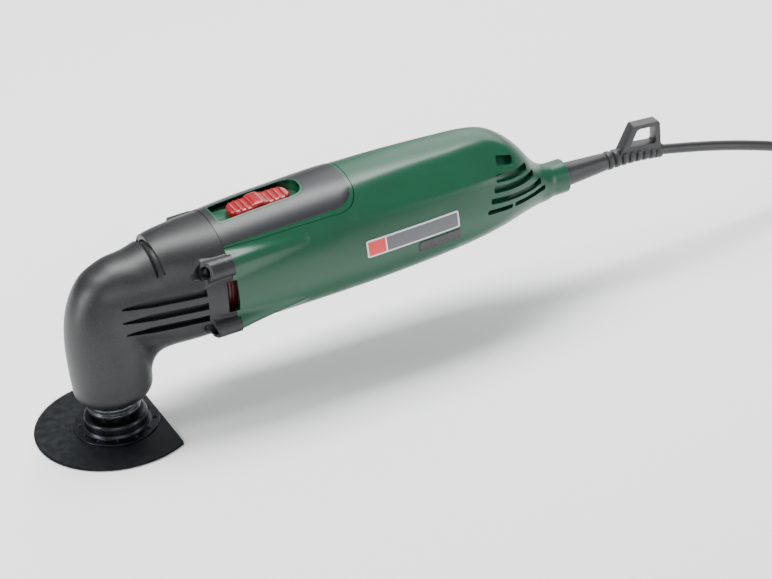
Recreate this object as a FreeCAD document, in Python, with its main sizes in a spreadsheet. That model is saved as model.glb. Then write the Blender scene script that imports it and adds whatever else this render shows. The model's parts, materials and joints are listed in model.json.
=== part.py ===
"""Oscillating multi tool with a segment saw blade, as an assembly of separate pieces.

Frame: millimetres, +Z up. The spindle turns about Z at the origin, the blade's underside lies in
the plane z = 0, and the body and its motor lie along +X at the height motor_axis.
"""
import FreeCAD, Part

import math
import os
import re

import Sketcher

V = FreeCAD.Vector
X, Y, Z = V(1, 0, 0), V(0, 1, 0), V(0, 0, 1)

# ------------------------------------------------------------------ driving dimensions
SIZES = {
    # saw blade and its clamp
    "blade_radius": 44, "blade_sheet": 1, "blade_cut_edge": 23.1, "blade_bore": 15,
    "hub_plate_radius": 22.9, "hub_cup_radius": 17, "hub_top": 8.8, "hub_sheet": 1.1,
    "hub_hole": 5.2, "washer_radius": 11, "washer_thick": 1.8, "screw_radius": 2.95,
    "screw_head_radius": 6.5, "screw_head_low": 0.8, "screw_top": 26, "socket_radius": 2.89,
    "socket_deep": 3.5, "drive_pins": 8, "drive_pin_radius": 1.2, "drive_pin_circle": 8.5,
    # spindle, its bearings and the swing fork
    "flange_radius": 14, "flange_low": 11.6, "flange_high": 17.4, "flange_neck": 9,
    "flange_top": 20.5, "spindle_end": 5, "journal": 5.97, "spindle_body": 7,
    "fork_seat": 6.5, "top_journal": 2.47, "spindle_top": 84, "low_bearing_bore": 6,
    "low_bearing_radius": 14, "low_bearing_from": 24, "low_bearing_wide": 8,
    "top_bearing_bore": 2.5, "top_bearing_radius": 6.5, "top_bearing_wide": 4,
    "fork_wide": 8, "fork_gap": 8.5, "fork_out": 11.5, "fork_reach": 30, "fork_hub": 11,
    # motor
    "motor_axis": 75, "eccentric": 0.74, "pin_radius": 3, "pin_from": 22.5, "pin_to": 30,
    "ecc_bearing_radius": 6.5, "ecc_bearing_from": 24, "ecc_bearing_wide": 5,
    "shaft_radius": 3.97, "front_bearing_from": 37, "front_bearing_wide": 7,
    "front_bearing_bore": 4, "front_bearing_radius": 11, "core_seat": 4.5,
    "rear_journal": 2.97, "rear_bearing_bore": 3, "rear_bearing_radius": 9.5,
    "rear_bearing_from": 150, "rear_bearing_wide": 6, "boot_radius": 11,
    "core_from": 80, "core_to": 120, "core_radius": 14.8, "stator_bore": 15.4,
    "stator_radius": 22, "fan_radius": 23, "fan_from": 50, "fan_to": 61.5, "fan_blades": 9,
    "commutator_from": 131, "commutator_to": 143, "commutator_radius": 9,
    "brush_at": 136.5, "brush_wide": 5, "brush_tall": 7, "brush_gap": 0.05,
    # shells
    "shell_wall": 2.4, "joint_at": 64, "collar_axis": 62, "collar_radius": 9.4,
    "collar_from": 250, "collar_to": 271, "collar_bore": 6.9, "boss_radius": 5.5,
    "boss_half_span": 26.6, "boss_half_rise": 17, "boss_middle": 72.1, "boss_from": 51,
    "boss_tail": 102, "head_screw_shank": 1.9, "head_screw_head": 3.5, "window_from": 60,
    "window_to": 66, "window_low": 63.2, "window_high": 81.6, "vent_from": 3,
    "vent_to": 49.7, "vent_tall": 4.1, "vent_pitch": 7.8, "vent_low": 62.9,
    "cover_low": 96.2, "cover_to": 141, "cover_arch": 48, "grip_low": 97.8,
    "grip_to": 139, "grip_thick": 1.3, "seam_gap": 0.15,
    "recess_from": 68.3, "recess_to": 116.8, "recess_half": 9, "recess_floor": 101.2,
    "recess_wall": 1.4, "side_cover_from": 158, "side_cover_to": 246,
    "side_cover_half": 17.5, "side_cover_low": 50, "side_cover_high": 97,
    # switch train
    "slider_from": 76.5, "slider_to": 111, "slider_half": 7, "slider_low": 101.5,
    "slider_high": 106.2, "slider_ridge": 107.3, "slider_travel": 6.5, "stem_from": 92.5,
    "stem_to": 96, "stem_half": 1.7, "rod_low": 97.6, "rod_high": 99.4, "rod_half": 3,
    "rod_from": 88, "rod_to": 172, "switch_from": 174, "switch_to": 198,
    # badge and label on the flank
    "badge_from": 138.3, "badge_to": 193, "badge_low": 70.9, "badge_high": 80.6,
    "plate_from": 169, "plate_to": 193.5, "plate_low": 63, "plate_high": 69.4,
    # cord, its strain relief with the hanging loop, its put-away coil and its plug
    "cord_diameter": 5.8, "relief_root": 6.7, "relief_neck": 4.9, "relief_core": 3.7,
    "relief_straight_to": 300, "relief_bend": 141, "relief_turn": 13, "relief_ribs": 7,
    "rib_wide": 3, "rib_pitch": 4.4, "loop_thick": 4.4, "coil_x": 520, "coil_y": -20,
    "coil_inner": 20.5, "coil_outer": 49.5, "coil_high": 11.6, "plug_front": 440,
    "plug_rear": 476, "plug_y": -67.6, "plug_axis": 8.3, "plug_pin_radius": 2.4,
    "plug_pin_length": 17, "plug_pin_half_gap": 9.5,
}

doc = FreeCAD.newDocument("OscillatingMultiTool")
sizes = doc.addObject("Spreadsheet::Sheet", "Sizes")
for row, (alias, number) in enumerate(SIZES.items(), start=1):
    sizes.set(f"A{row}", alias)
    sizes.set(f"B{row}", str(number))
    sizes.setAlias(f"B{row}", alias)
doc.recompute()

nodes = []


# ------------------------------------------------------------------ helpers
def bind(expression):
    """The expression with each dimension's alias read from the sheet."""
    return re.sub(r"[a-z_]+", lambda word: "Sizes." + word[0] if word[0] in SIZES else word[0],
                  str(expression))


def size(expression):
    """The number that an expression of the sheet's dimensions comes to."""
    return float(sizes.evalExpression(bind(expression)))


def keep(label, thing):
    """Makes an object a named piece of the tool."""
    thing.Label = label
    nodes.append(thing)
    return thing


def place(thing, at, rotation=None):
    if rotation:
        thing.Placement = FreeCAD.Placement(V(), rotation)
    for letter, expression in zip("xyz", at):
        thing.setExpression(f"Placement.Base.{letter}", bind(expression))
    return thing


TURN = {"X": FreeCAD.Rotation(Y, 90), "Y": FreeCAD.Rotation(X, -90), "Z": FreeCAD.Rotation()}


def cylinder(axis, at, radius, length):
    """A cylinder that starts at a point and runs along a row axis."""
    thing = doc.addObject("Part::Cylinder", "Cylinder")
    thing.setExpression("Radius", bind(radius))
    thing.setExpression("Height", bind(length))
    return place(thing, at, TURN[axis])


def box(x_range, y_range, z_range):
    """A box between two values on each axis."""
    thing = doc.addObject("Part::Box", "Box")
    for side, (low, high) in zip(("Length", "Width", "Height"), (x_range, y_range, z_range)):
        thing.setExpression(side, bind(f"({high}) - ({low})"))
    return place(thing, [x_range[0], y_range[0], z_range[0]])


def both_sides(x_range, y_range, z_range):
    """Two boxes, one each side of the middle plane."""
    mirrored = (f"-({y_range[1]})", f"-({y_range[0]})")
    return [box(x_range, y_range, z_range), box(x_range, mirrored, z_range)]


def fuse(*things):
    joined = doc.addObject("Part::MultiFuse", "Fusion")
    joined.Shapes = list(things)
    return joined


def cut(base, *tools):
    result = doc.addObject("Part::Cut", "Cut")
    result.Base = base
    result.Tool = tools[0] if len(tools) == 1 else fuse(*tools)
    return result


def group(*things):
    """Separate solids that share one node."""
    result = doc.addObject("Part::Compound", "Group")
    result.Links = list(things)
    return result


def ring(axis, at, inner, outer, length):
    return cut(cylinder(axis, at, outer, length), cylinder(axis, at, inner, length))


def freeform(label, shape):
    """A piece whose surface has no feature of its own kind: its shape is set here."""
    thing = doc.addObject("Part::Feature", label)
    thing.Shape = shape
    thing.Placement = FreeCAD.Placement()
    return thing


def outline_sketch(body, plane, points):
    """A closed polygon, each corner held by two dimensions bound to the sheet."""
    sketch = body.newObject("Sketcher::SketchObject", "Outline")
    sketch.AttachmentSupport = [(next(f for f in body.Origin.OriginFeatures if f.Role == plane), "")]
    sketch.MapMode = "FlatFace"
    corners = [V(size(a), size(b), 0) for a, b in points]
    for start, end in zip(corners, corners[1:] + corners[:1]):
        sketch.addGeometry(Part.LineSegment(start, end))
    for i in range(len(points)):
        sketch.addConstraint(Sketcher.Constraint("Coincident", i, 2, (i + 1) % len(points), 1))
    for i, corner in enumerate(points):
        for kind, expression in zip(("DistanceX", "DistanceY"), corner):
            index = sketch.addConstraint(
                Sketcher.Constraint(kind, -1, 1, i, 1, size(expression)))
            sketch.setExpression(f"Constraints[{index}]", bind(expression))
    return sketch


def turned(label, axis, points):
    """A turned piece: its half section about the spindle (r, z) or the motor shaft (x, r)."""
    body = doc.addObject("PartDesign::Body", label)
    sketch = outline_sketch(body, "XZ_Plane", points)
    spin = body.newObject("PartDesign::Revolution", "Turned")
    spin.Profile = sketch
    spin.ReferenceAxis = (sketch, ["V_Axis" if axis == "Z" else "H_Axis"])
    spin.Angle = 360
    body.Tip = spin
    if axis == "X":
        body.setExpression("Placement.Base.z", bind("motor_axis"))
    return body


def bearing(label, axis, at, bore, outer, wide, balls=8):
    """A ball bearing: inner ring, outer ring and balls, as separate solids."""
    thick = f"(({outer}) - ({bore})) * 0.3"
    middle = f"(({outer}) + ({bore})) / 2"
    solids = [ring(axis, at, bore, f"({bore}) + {thick}", wide),
              ring(axis, at, f"({outer}) - {thick}", outer, wide)]
    for i in range(balls):
        turn = math.radians(360 * i / balls)
        ball = doc.addObject("Part::Sphere", "Ball")
        ball.setExpression("Radius", bind(f"(({outer}) - ({bore})) * 0.2 - 0.05"))
        a, b = f"({middle}) * {math.cos(turn):.6f}", f"({middle}) * {math.sin(turn):.6f}"
        offsets = {"Z": (a, b, f"({wide}) / 2"), "X": (f"({wide}) / 2", a, b)}[axis]
        place(ball, [f"({start}) + {offset}" for start, offset in zip(at, offsets)])
        solids.append(ball)
    return keep(label, group(*solids))


def section(along, place_at, half, high, low, shift=0, points=20, fullness=2.15):
    """One closed smooth section of a shell, across X or across Z."""
    middle, rise = (high + low) / 2, (high - low) / 2
    ring_points = []
    for i in range(points):
        turn = 2 * math.pi * (i + 0.5) / points
        c, s = math.cos(turn), math.sin(turn)
        u = half * math.copysign(abs(c) ** (2 / fullness), c)
        w = rise * math.copysign(abs(s) ** (2 / fullness), s)
        ring_points.append(V(place_at, u, middle + w) if along == "X"
                           else V(shift + w, u, place_at))
    curve = Part.BSplineCurve()
    curve.interpolate(Points=ring_points, PeriodicFlag=True)
    return Part.Wire([curve.toShape()])


def shell_loft(stations, inset=0.0, ends=(0.0, 0.0)):
    """The solid through the sections of a shell along X, drawn in by inset all round."""
    wires = []
    for i, (at, half, high, low) in enumerate(stations):
        moved = at + (ends[0] if i == 0 else ends[1] if i == len(stations) - 1 else 0)
        wires.append(section("X", moved, half - inset, high - inset, low + inset))
    return Part.makeLoft(wires, True, False)


def column_loft(stations, inset=0.0):
    """The solid through the level sections of the neck: (z, front x, rear x, half width)."""
    wires = [section("Z", at, half - inset, rear - inset, front + inset, 0, fullness=2.0)
             for at, front, rear, half in stations]
    return Part.makeLoft(wires, True, False)


def plain_box(x0, x1, y0, y1, z0, z1):
    return Part.makeBox(x1 - x0, y1 - y0, z1 - z0, V(x0, y0, z0))


def plain_rod(axis, start, radius, length):
    return Part.makeCylinder(radius, length, V(*start), axis)


def slot_prism(start, end, tall, depth=90.0):
    """A round-ended slot in the X-Z plane, through the whole width, from start to end."""
    (x0, z0), (x1, z1) = start, end
    angle = math.atan2(z1 - z0, x1 - x0)
    side = V(-math.sin(angle), 0, math.cos(angle)) * (tall / 2)
    a, b = V(x0, 0, z0), V(x1, 0, z1)
    out = V(math.cos(angle), 0, math.sin(angle)) * (tall / 2)
    edges = [Part.LineSegment(a - side, b - side), Part.Arc(b - side, b + out, b + side),
             Part.LineSegment(b + side, a + side), Part.Arc(a + side, a - out, a - side)]
    face = Part.Face(Part.Wire([e.toShape() for e in edges]))
    face.translate(V(0, -depth / 2, 0))
    return face.extrude(V(0, depth, 0))


def arch_prism(end, low, grow=0.0):
    """Everything above a level, back to an arched end: the plan of the top cover or its grip."""
    radius = size("cover_arch") + grow
    plan = plain_box(0, end - radius + 5, -60, 60, low - grow, 130)
    return plan.fuse(plain_rod(Z, (end - radius + grow, 0, low - grow), radius, 60))


# ------------------------------------------------------------------ saw blade and clamp
blade = doc.addObject("PartDesign::Body", "saw_blade")
sheet = blade.newObject("Sketcher::SketchObject", "BladeOutline")
sheet.AttachmentSupport = [(next(f for f in blade.Origin.OriginFeatures
                                 if f.Role == "XY_Plane"), "")]
sheet.MapMode = "FlatFace"
cut_angle = math.acos(size("blade_cut_edge / blade_radius"))
rim = Part.Circle(V(), Z, size("blade_radius"))
sheet.addGeometry(Part.ArcOfCircle(rim, cut_angle, 2 * math.pi - cut_angle))
sheet.addGeometry(Part.LineSegment(
    V(size("blade_cut_edge"), -size("blade_radius") * math.sin(cut_angle), 0),
    V(size("blade_cut_edge"), size("blade_radius") * math.sin(cut_angle), 0)))
sheet.addGeometry(Part.Circle(V(), Z, size("blade_bore")))
sheet.addConstraint([
    Sketcher.Constraint("Coincident", 0, 3, -1, 1), Sketcher.Constraint("Coincident", 2, 3, -1, 1),
    Sketcher.Constraint("Coincident", 0, 2, 1, 1), Sketcher.Constraint("Coincident", 0, 1, 1, 2),
    Sketcher.Constraint("Vertical", 1)])
for kind, where, expression in (("Radius", (0,), "blade_radius"),
                                ("Radius", (2,), "blade_bore"),
                                ("DistanceX", (-1, 1, 1, 1), "blade_cut_edge")):
    index = sheet.addConstraint(Sketcher.Constraint(kind, *where, size(expression)))
    sheet.setExpression(f"Constraints[{index}]", bind(expression))
pad = blade.newObject("PartDesign::Pad", "BladeSheet")
pad.Profile = sheet
pad.setExpression("Length", bind("blade_sheet"))
blade.Tip = pad
keep("saw_blade", blade)


def on_circle(count, radius, make):
    """One solid at each of count places spread evenly round the spindle."""
    return [make(f"({radius}) * {math.cos(2 * math.pi * i / count):.6f}",
                 f"({radius}) * {math.sin(2 * math.pi * i / count):.6f}") for i in range(count)]


pin_count = int(size("drive_pins"))
hub = turned("Hub", "Z", [
    ("hub_hole", "hub_top - hub_sheet"), ("hub_cup_radius - 1.8", "hub_top - hub_sheet"),
    ("hub_cup_radius - hub_sheet", "hub_top - 1.8"), ("hub_cup_radius - hub_sheet", "blade_sheet"),
    ("hub_plate_radius", "blade_sheet"), ("hub_plate_radius", "blade_sheet + 0.9"),
    ("hub_cup_radius", "blade_sheet + 0.9"), ("hub_cup_radius", "hub_top - 1.4"),
    ("hub_cup_radius - 1.4", "hub_top"), ("hub_hole", "hub_top")])
keep("blade_hub", cut(hub, *on_circle(pin_count, "drive_pin_circle", lambda a, b: cylinder(
    "Z", (a, b, "hub_top - 4"), "drive_pin_radius + 0.1", 8))))
washer_top = "hub_top - hub_sheet - 0.9"
keep("clamp_washer", turned("Washer", "Z", [
    ("screw_radius + 0.1", f"{washer_top} - washer_thick"),
    ("washer_radius - 0.4", f"{washer_top} - washer_thick"),
    ("washer_radius", f"{washer_top} - washer_thick + 0.4"), ("washer_radius", washer_top),
    ("screw_radius + 0.1", washer_top)]))
keep("locking_ring", turned("LockingRing", "Z", [
    ("drive_pin_circle + 1.4", washer_top), ("washer_radius", washer_top),
    ("washer_radius", "hub_top - hub_sheet"), ("drive_pin_circle + 1.4", "hub_top - hub_sheet")]))
head_top = f"{washer_top} - washer_thick"
screw = turned("ScrewTurned", "Z", [
    (0, "screw_head_low"), ("screw_head_radius - 0.5", "screw_head_low"),
    ("screw_head_radius", "screw_head_low + 0.5"), ("screw_head_radius", head_top),
    ("screw_radius", head_top), ("screw_radius", "screw_top - 0.6"),
    ("screw_radius - 0.6", "screw_top"), (0, "screw_top")])
socket = doc.addObject("Part::Prism", "Socket")
socket.Polygon = 6
socket.setExpression("Circumradius", bind("socket_radius"))
socket.setExpression("Height", bind("socket_deep + 1"))
place(socket, (0, 0, "screw_head_low - 1"))
keep("clamp_screw", cut(screw, socket))

# ------------------------------------------------------------------ spindle and gear
flange = turned("Flange", "Z", [
    ("screw_radius + 0.15", "hub_top"), ("drive_pin_circle + 2", "hub_top"),
    ("drive_pin_circle + 2", "flange_low"), ("flange_radius", "flange_low"),
    ("flange_radius", "flange_high - 0.8"), ("flange_radius - 0.8", "flange_high"),
    ("flange_neck", "flange_high"), ("flange_neck", "flange_top"),
    ("spindle_end", "flange_top"), ("spindle_end", "flange_low"),
    ("screw_radius + 0.15", "flange_low")])
keep("tool_flange", fuse(flange, *on_circle(pin_count, "drive_pin_circle", lambda a, b: cylinder(
    "Z", (a, b, "hub_top - hub_sheet - 0.5"), "drive_pin_radius", "hub_sheet + 1"))))
fork_low = "motor_axis - fork_wide / 2"
keep("spindle", turned("SpindleTurned", "Z", [
    ("screw_radius + 0.05", "flange_low"), ("spindle_end", "flange_low"),
    ("spindle_end", "flange_top"), ("journal", "flange_top"),
    ("journal", "low_bearing_from + low_bearing_wide + 1"),
    ("spindle_body + 0.6", "low_bearing_from + low_bearing_wide + 1"),
    ("spindle_body + 0.6", "low_bearing_from + low_bearing_wide + 10"),
    ("spindle_body", "low_bearing_from + low_bearing_wide + 11"), ("spindle_body", fork_low),
    ("fork_seat", fork_low), ("fork_seat", f"{fork_low} + fork_wide"),
    ("fork_seat - 1.5", f"{fork_low} + fork_wide"),
    ("fork_seat - 1.5", "spindle_top - top_bearing_wide - 0.4"),
    ("top_journal", "spindle_top - top_bearing_wide - 0.4"), ("top_journal", "spindle_top"),
    (0, "spindle_top"), (0, "screw_top + 1.5"), ("screw_radius + 0.05", "screw_top + 1.5")]))
keep("spindle_seal", turned("SealTurned", "Z", [
    ("flange_neck + 0.3", 19.8), (12.9, 19.8), (12.9, 22.4), ("flange_neck + 1.4", 22.4),
    ("flange_neck + 1.4", 20.8), ("flange_neck + 0.3", 20.4)]))
keep("bearing_circlip", turned("CirclipTurned", "Z", [
    (11.6, 23), ("low_bearing_radius", 23), ("low_bearing_radius", 23.9), (11.6, 23.9)]))
bearing("lower_spindle_bearing", "Z", (0, 0, "low_bearing_from"), "low_bearing_bore",
        "low_bearing_radius", "low_bearing_wide", 9)
bearing("upper_spindle_bearing", "Z", (0, 0, "spindle_top - top_bearing_wide"),
        "top_bearing_bore", "top_bearing_radius", "top_bearing_wide", 7)
fork_hub = ring("Z", (0, 0, fork_low), "fork_seat", "fork_hub", "fork_wide")
tines = both_sides(("4", "fork_reach"), ("fork_gap", "fork_out"),
                   (fork_low, f"{fork_low} + fork_wide"))
keep("swing_fork", fuse(fork_hub, *tines))

# ------------------------------------------------------------------ gear frame
frame_tube = turned("FrameTube", "Z", [
    ("low_bearing_radius", 23), (16.4, 23), (16.4, 46), (11.8, 46),
    (11.8, "low_bearing_from + low_bearing_wide"),
    ("low_bearing_radius", "low_bearing_from + low_bearing_wide")])
cheek = ("13", "15.3")
bridge_low = "spindle_top - top_bearing_wide - 0.2"
bearing_bridge = fuse(
    box(("14", "37"), ("-14.5", "14.5"), (bridge_low, "spindle_top + 3.5")),
    box(("0", "15"), ("-8", "8"), (bridge_low, "spindle_top + 0.4")),
    cylinder("Z", (0, 0, bridge_low), "top_bearing_radius + 1.2", "top_bearing_wide - 0.6"))
rear_plate = cylinder("X", ("36", 0, "motor_axis"), "22", "9")
frame_solid = fuse(frame_tube, bearing_bridge, rear_plate,
                   *both_sides(("-4", "8.5"), cheek, ("39", "62")),
                   *both_sides(("7", "37"), cheek, ("60", "spindle_top - 3")),
                   *both_sides(("14", "37"), cheek, ("60", "spindle_top")))
keep("gear_frame", cut(
    frame_solid,
    cylinder("Z", (0, 0, "spindle_top - top_bearing_wide"), "top_bearing_radius", 12),
    cylinder("Z", (0, 0, 70), "5.6", 20),
    cylinder("X", (12, 0, "motor_axis"), "8.2", "24.2"),
    cylinder("X", ("front_bearing_from", 0, "motor_axis"), "front_bearing_radius", 10),
    cylinder("X", (30, 0, "motor_axis"), "6.4", 20)))

# ------------------------------------------------------------------ motor
shaft = turned("ShaftTurned", "X", [
    ("pin_to", 0), ("pin_to", "shaft_radius"), ("fan_from", "shaft_radius"),
    ("fan_from", "core_seat"), ("commutator_to + 2", "core_seat"),
    ("commutator_to + 2", "rear_journal"), ("rear_bearing_from + 8", "rear_journal"),
    ("rear_bearing_from + 8", 0)])
pin = cylinder("X", ("pin_from", 0, "motor_axis + eccentric"), "pin_radius",
               "pin_to - pin_from")
keep("motor_shaft", fuse(shaft, pin))
bearing("eccentric_bearing", "X", ("ecc_bearing_from", 0, "motor_axis + eccentric"),
        "pin_radius", "ecc_bearing_radius", "ecc_bearing_wide")
bearing("front_motor_bearing", "X", ("front_bearing_from", 0, "motor_axis"),
        "front_bearing_bore", "front_bearing_radius", "front_bearing_wide")
bearing("rear_motor_bearing", "X", ("rear_bearing_from", 0, "motor_axis"),
        "rear_bearing_bore", "rear_bearing_radius", "rear_bearing_wide")
keep("bearing_boot", ring("X", ("rear_bearing_from", 0, "motor_axis"), "rear_bearing_radius",
                          "boot_radius", "rear_bearing_wide"))
axle = (0, "motor_axis")
slots = []
for i in range(12):
    turn = math.radians(30 * i + 15)
    slots.append(cylinder("X", ("core_from - 1", f"12.4 * {math.cos(turn):.6f}",
                                f"motor_axis + 12.4 * {math.sin(turn):.6f}"), "1.5",
                          "core_to - core_from + 2"))
keep("armature_core", cut(ring("X", ("core_from", *axle), "core_seat", "core_radius",
                               "core_to - core_from"), *slots))
keep("armature_windings", group(
    ring("X", ("core_from - 7", *axle), "core_seat", "12.8", "7"),
    ring("X", ("core_to", *axle), "core_seat", "12.8", "7")))
keep("commutator", ring("X", ("commutator_from", *axle), "core_seat", "commutator_radius",
                        "commutator_to - commutator_from"))
blades = []
for i in range(int(size("fan_blades"))):
    blade_box = doc.addObject("Part::Box", "FanBlade")
    for side, expression in (("Length", "fan_to - fan_from - 1.5"), ("Width", "1.4"),
                             ("Height", "fan_radius - 7")):
        blade_box.setExpression(side, bind(expression))
    turn = 360 * i / size("fan_blades")
    spin = FreeCAD.Rotation(X, turn)
    start = spin.multVec(V(0, -0.7, 6.5))
    place(blade_box, ("fan_from", f"{start.y:.6f}", f"motor_axis + {start.z:.6f}"), spin)
    blades.append(blade_box)
keep("cooling_fan", cut(fuse(
    cylinder("X", ("fan_from", *axle), "8", "fan_to - fan_from"),
    cylinder("X", ("fan_to - 1.6", *axle), "fan_radius", "1.6"), *blades),
    cylinder("X", ("fan_from - 1", *axle), "core_seat", "fan_to - fan_from + 2")))
keep("stator_core", ring("X", ("core_from - 2", *axle), "stator_bore", "stator_radius",
                         "core_to - core_from + 4"))
gap_slab = box(("core_from - 20", "core_to + 20"), ("-30", "30"),
               ("motor_axis - 3", "motor_axis + 3"))
keep("stator_windings", cut(group(
    ring("X", ("core_from - 9.5", *axle), "15.6", "21", "7.5"),
    ring("X", ("core_to + 2", *axle), "15.6", "21", "7.5")), gap_slab))

# brushes: carbon, brass holder and spring on each side of the commutator
half_wide, half_tall = "brush_wide / 2", "brush_tall / 2"
brush_x = (f"brush_at - {half_wide}", f"brush_at + {half_wide}")
brush_z = (f"motor_axis - {half_tall}", f"motor_axis + {half_tall}")
keep("carbon_brushes", group(*both_sides(
    brush_x, ("commutator_radius + brush_gap", "commutator_radius + 10"), brush_z)))
keep("brush_springs", group(*[
    ring("Y", ("brush_at", start, "motor_axis"), "1.5", "2.2", "5.9")
    for start in ("commutator_radius + 10.05", "-(commutator_radius + 15.95)")]))
holder_shell = both_sides((f"{brush_x[0]} - 1", f"{brush_x[1]} + 1"), ("11", "26"),
                          (f"{brush_z[0]} - 1", f"{brush_z[1]} + 1"))
holder_bore = both_sides((f"{brush_x[0]} - 0.05", f"{brush_x[1]} + 0.05"), ("10", "25.1"),
                         (f"{brush_z[0]} - 0.05", f"{brush_z[1]} + 0.05"))
keep("brush_holders", group(*[cut(a, b) for a, b in zip(holder_shell, holder_bore)]))
bracket_from = "brush_at + brush_wide / 2 + 1"
bracket = fuse(cylinder("X", ("commutator_to + 1", *axle), "20", "4"),
               cylinder("X", ("commutator_to + 4", *axle), "boot_radius + 2.4",
                        "rear_bearing_from + rear_bearing_wide - commutator_to - 4"),
               *both_sides((bracket_from, "commutator_to + 5"), ("13", "27.5"),
                           ("motor_axis - 6", "motor_axis + 6")))
keep("motor_end_bracket", cut(
    bracket, cylinder("X", ("130", *axle), "8", "40"),
    cylinder("X", ("rear_bearing_from", *axle), "boot_radius", "20")))

# ------------------------------------------------------------------ outer shells
# (x, half width, top, bottom) of the motor housing, of the head's barrel, and
# (z, front, rear, half width) of the head's neck
BODY = [(64, 31, 104.8, 42.3), (85, 32, 106.3, 42.1), (110, 32.5, 107.3, 42.1),
        (138, 32.8, 108, 42.4), (170, 32, 107.8, 43.4), (200, 30.4, 106.6, 45.3),
        (214, 29, 105.9, 46.8), (225, 26.9, 103.9, 48.5), (234, 23.5, 99.4, 50),
        (243, 18.7, 90.8, 51.2), (252, 13, 78, 52), (258, 10.5, 72.5, 52.4)]
BARREL = [(-10.5, 9, 84.5, 62), (-4, 15.5, 91, 54), (5, 19.8, 95.8, 48), (20, 23, 99.4, 44),
          (34, 26, 103.2, 41.2), (48, 28.8, 104.4, 41.3), (64, 31, 104.8, 42.3)]
NECK = [(19.5, -17.6, 17.6, 17.6), (22.5, -19.4, 21, 20), (30, -20.2, 22.6, 20.9),
        (42, -20.6, 23, 21), (54, -20.4, 22.6, 20.2), (66, -18.9, 22, 19.3),
        (77, -15.6, 21, 17.5), (86, -10.5, 19, 14.5)]
wall = size("shell_wall")
axis = size("motor_axis")
joint = size("joint_at")
collar_z = size("collar_axis")
boss_places = [(side * size("boss_half_span"), size("boss_middle") + rise * size("boss_half_rise"))
               for side in (-1, 1) for rise in (-1, 1)]
window_cut = plain_box(size("window_from"), size("window_to"), -60, 60,
                       size("window_low"), size("window_high"))

# head casing: barrel, neck and screw bosses, hollow, with its vents and the top notch
throat_face = Part.Face(Part.makePolygon([
    V(14, 0, 30), V(21.5, 0, 30), V(22.8, 0, 36), V(25, 0, 39), V(29, 0, 41.3), V(36, 0, 43.2),
    V(36, 0, 55), V(14, 0, 55), V(14, 0, 30)]))
throat_face.translate(V(0, -13, 0))
head = shell_loft(BARREL).fuse([column_loft(NECK), throat_face.extrude(V(0, 26, 0))])
for y, z in boss_places:
    head = head.fuse(plain_rod(X, (size("boss_from"), y, z), size("boss_radius"),
                               joint - size("boss_from")))
hollow = shell_loft(BARREL, wall, (wall, 1.0)).fuse(
    column_loft([(22.2, *NECK[1][1:])] + NECK[2:-1] + [(86 - wall, *NECK[-1][1:])], wall))
head = head.cut(hollow)
head = head.cut(plain_rod(Z, (0, 0, 10), 13, 14))
for row in range(3):
    level = size("vent_low") + row * size("vent_pitch")
    head = head.cut(slot_prism((size("vent_from"), level), (size("vent_to") - 2, level),
                               size("vent_tall")))
notch = slot_prism((28.6, 101.5), (31.2, 108), 2.6, 44)
head = head.cut([notch, window_cut])
for y, z in boss_places:
    head = head.cut([plain_rod(X, (size("boss_from") - 20, y, z),
                               size("head_screw_head") + 0.25, 26),
                     plain_rod(X, (size("boss_from"), y, z),
                               size("head_screw_shank") + 0.1, 20)])
keep("gear_head_casing", freeform("HeadCasing", head))

# motor housing with its bosses and collar, the openings for the covers, and the tail vents
ahead = plain_box(joint - 20, joint, -60, 60, 20, 130)
long_outer = shell_loft(BODY, 0.0, (-1.0, 0.0))
outer = long_outer.cut(ahead)
inner = shell_loft(BODY, wall, (-2.0, -5.0))
shell = long_outer.fuse(plain_rod(X, (size("collar_from"), 0, collar_z), size("collar_radius"),
                             size("collar_to") - size("collar_from")))
for y, z in boss_places:
    base = Part.Circle(V(joint - 1, y, z), X, size("boss_radius"))
    tip = Part.Circle(V(size("boss_tail"), y * 0.96, z), X, 1.2)
    shell = shell.fuse(Part.makeLoft([Part.Wire(base.toShape()), Part.Wire(tip.toShape())],
                                     True, False))
collar_bore = plain_rod(X, (size("collar_from") - 12, 0, collar_z), size("collar_bore"), 60)
shell = shell.cut([inner, collar_bore, ahead])
for y, z in boss_places:
    shell = shell.cut(plain_rod(X, (joint - 1, y, z), size("head_screw_shank") + 0.1, 8.5))
supports = [plain_box(80, 120, -1.5, 1.5, 43.6, axis - size("stator_radius")),
        plain_box(80, 120, size("stator_radius"), 31.2, axis - 1.5, axis + 1.5),
        plain_box(80, 120, -31.2, -size("stator_radius"), axis - 1.5, axis + 1.5),
        plain_box(144, 148, -31, -27.5, axis - 4, axis + 4),
        plain_box(236, 244, -9, 9, 51.8, collar_z - 3)]
shell = shell.fuse(supports)
shell = shell.cut([plain_rod(Z, (240, y, collar_z - 9), 1.5, 8) for y in (-6.4, 6.4)])
vents = [((223.5, 94.2), (233.5, 91), 4.6), ((219.6, 88.8), (241, 84.4), 4.2),
         ((217.2, 83), (246, 77.6), 3.8), ((214.5, 77.4), (250, 70.6), 3.4),
         ((211.5, 71.8), (251, 65.6), 3)]
for start, end, tall in vents:
    shell = shell.cut(slot_prism(start, end, tall))
shell = shell.cut(window_cut)

side_low, side_high = size("side_cover_low"), size("side_cover_high")
side_from, side_to = size("side_cover_from"), size("side_cover_to")
half = size("side_cover_half")
gap = size("seam_gap")
side_prism = plain_box(side_from, side_to, half, 60, side_low, side_high)
side_hole = plain_box(side_from - gap, side_to + gap, half - gap, 60, side_low - gap,
                      side_high + gap)
cover_prism = arch_prism(size("cover_to"), size("cover_low"))
cover_hole = arch_prism(size("cover_to"), size("cover_low"), gap)
skin = outer.cut(inner)

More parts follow.
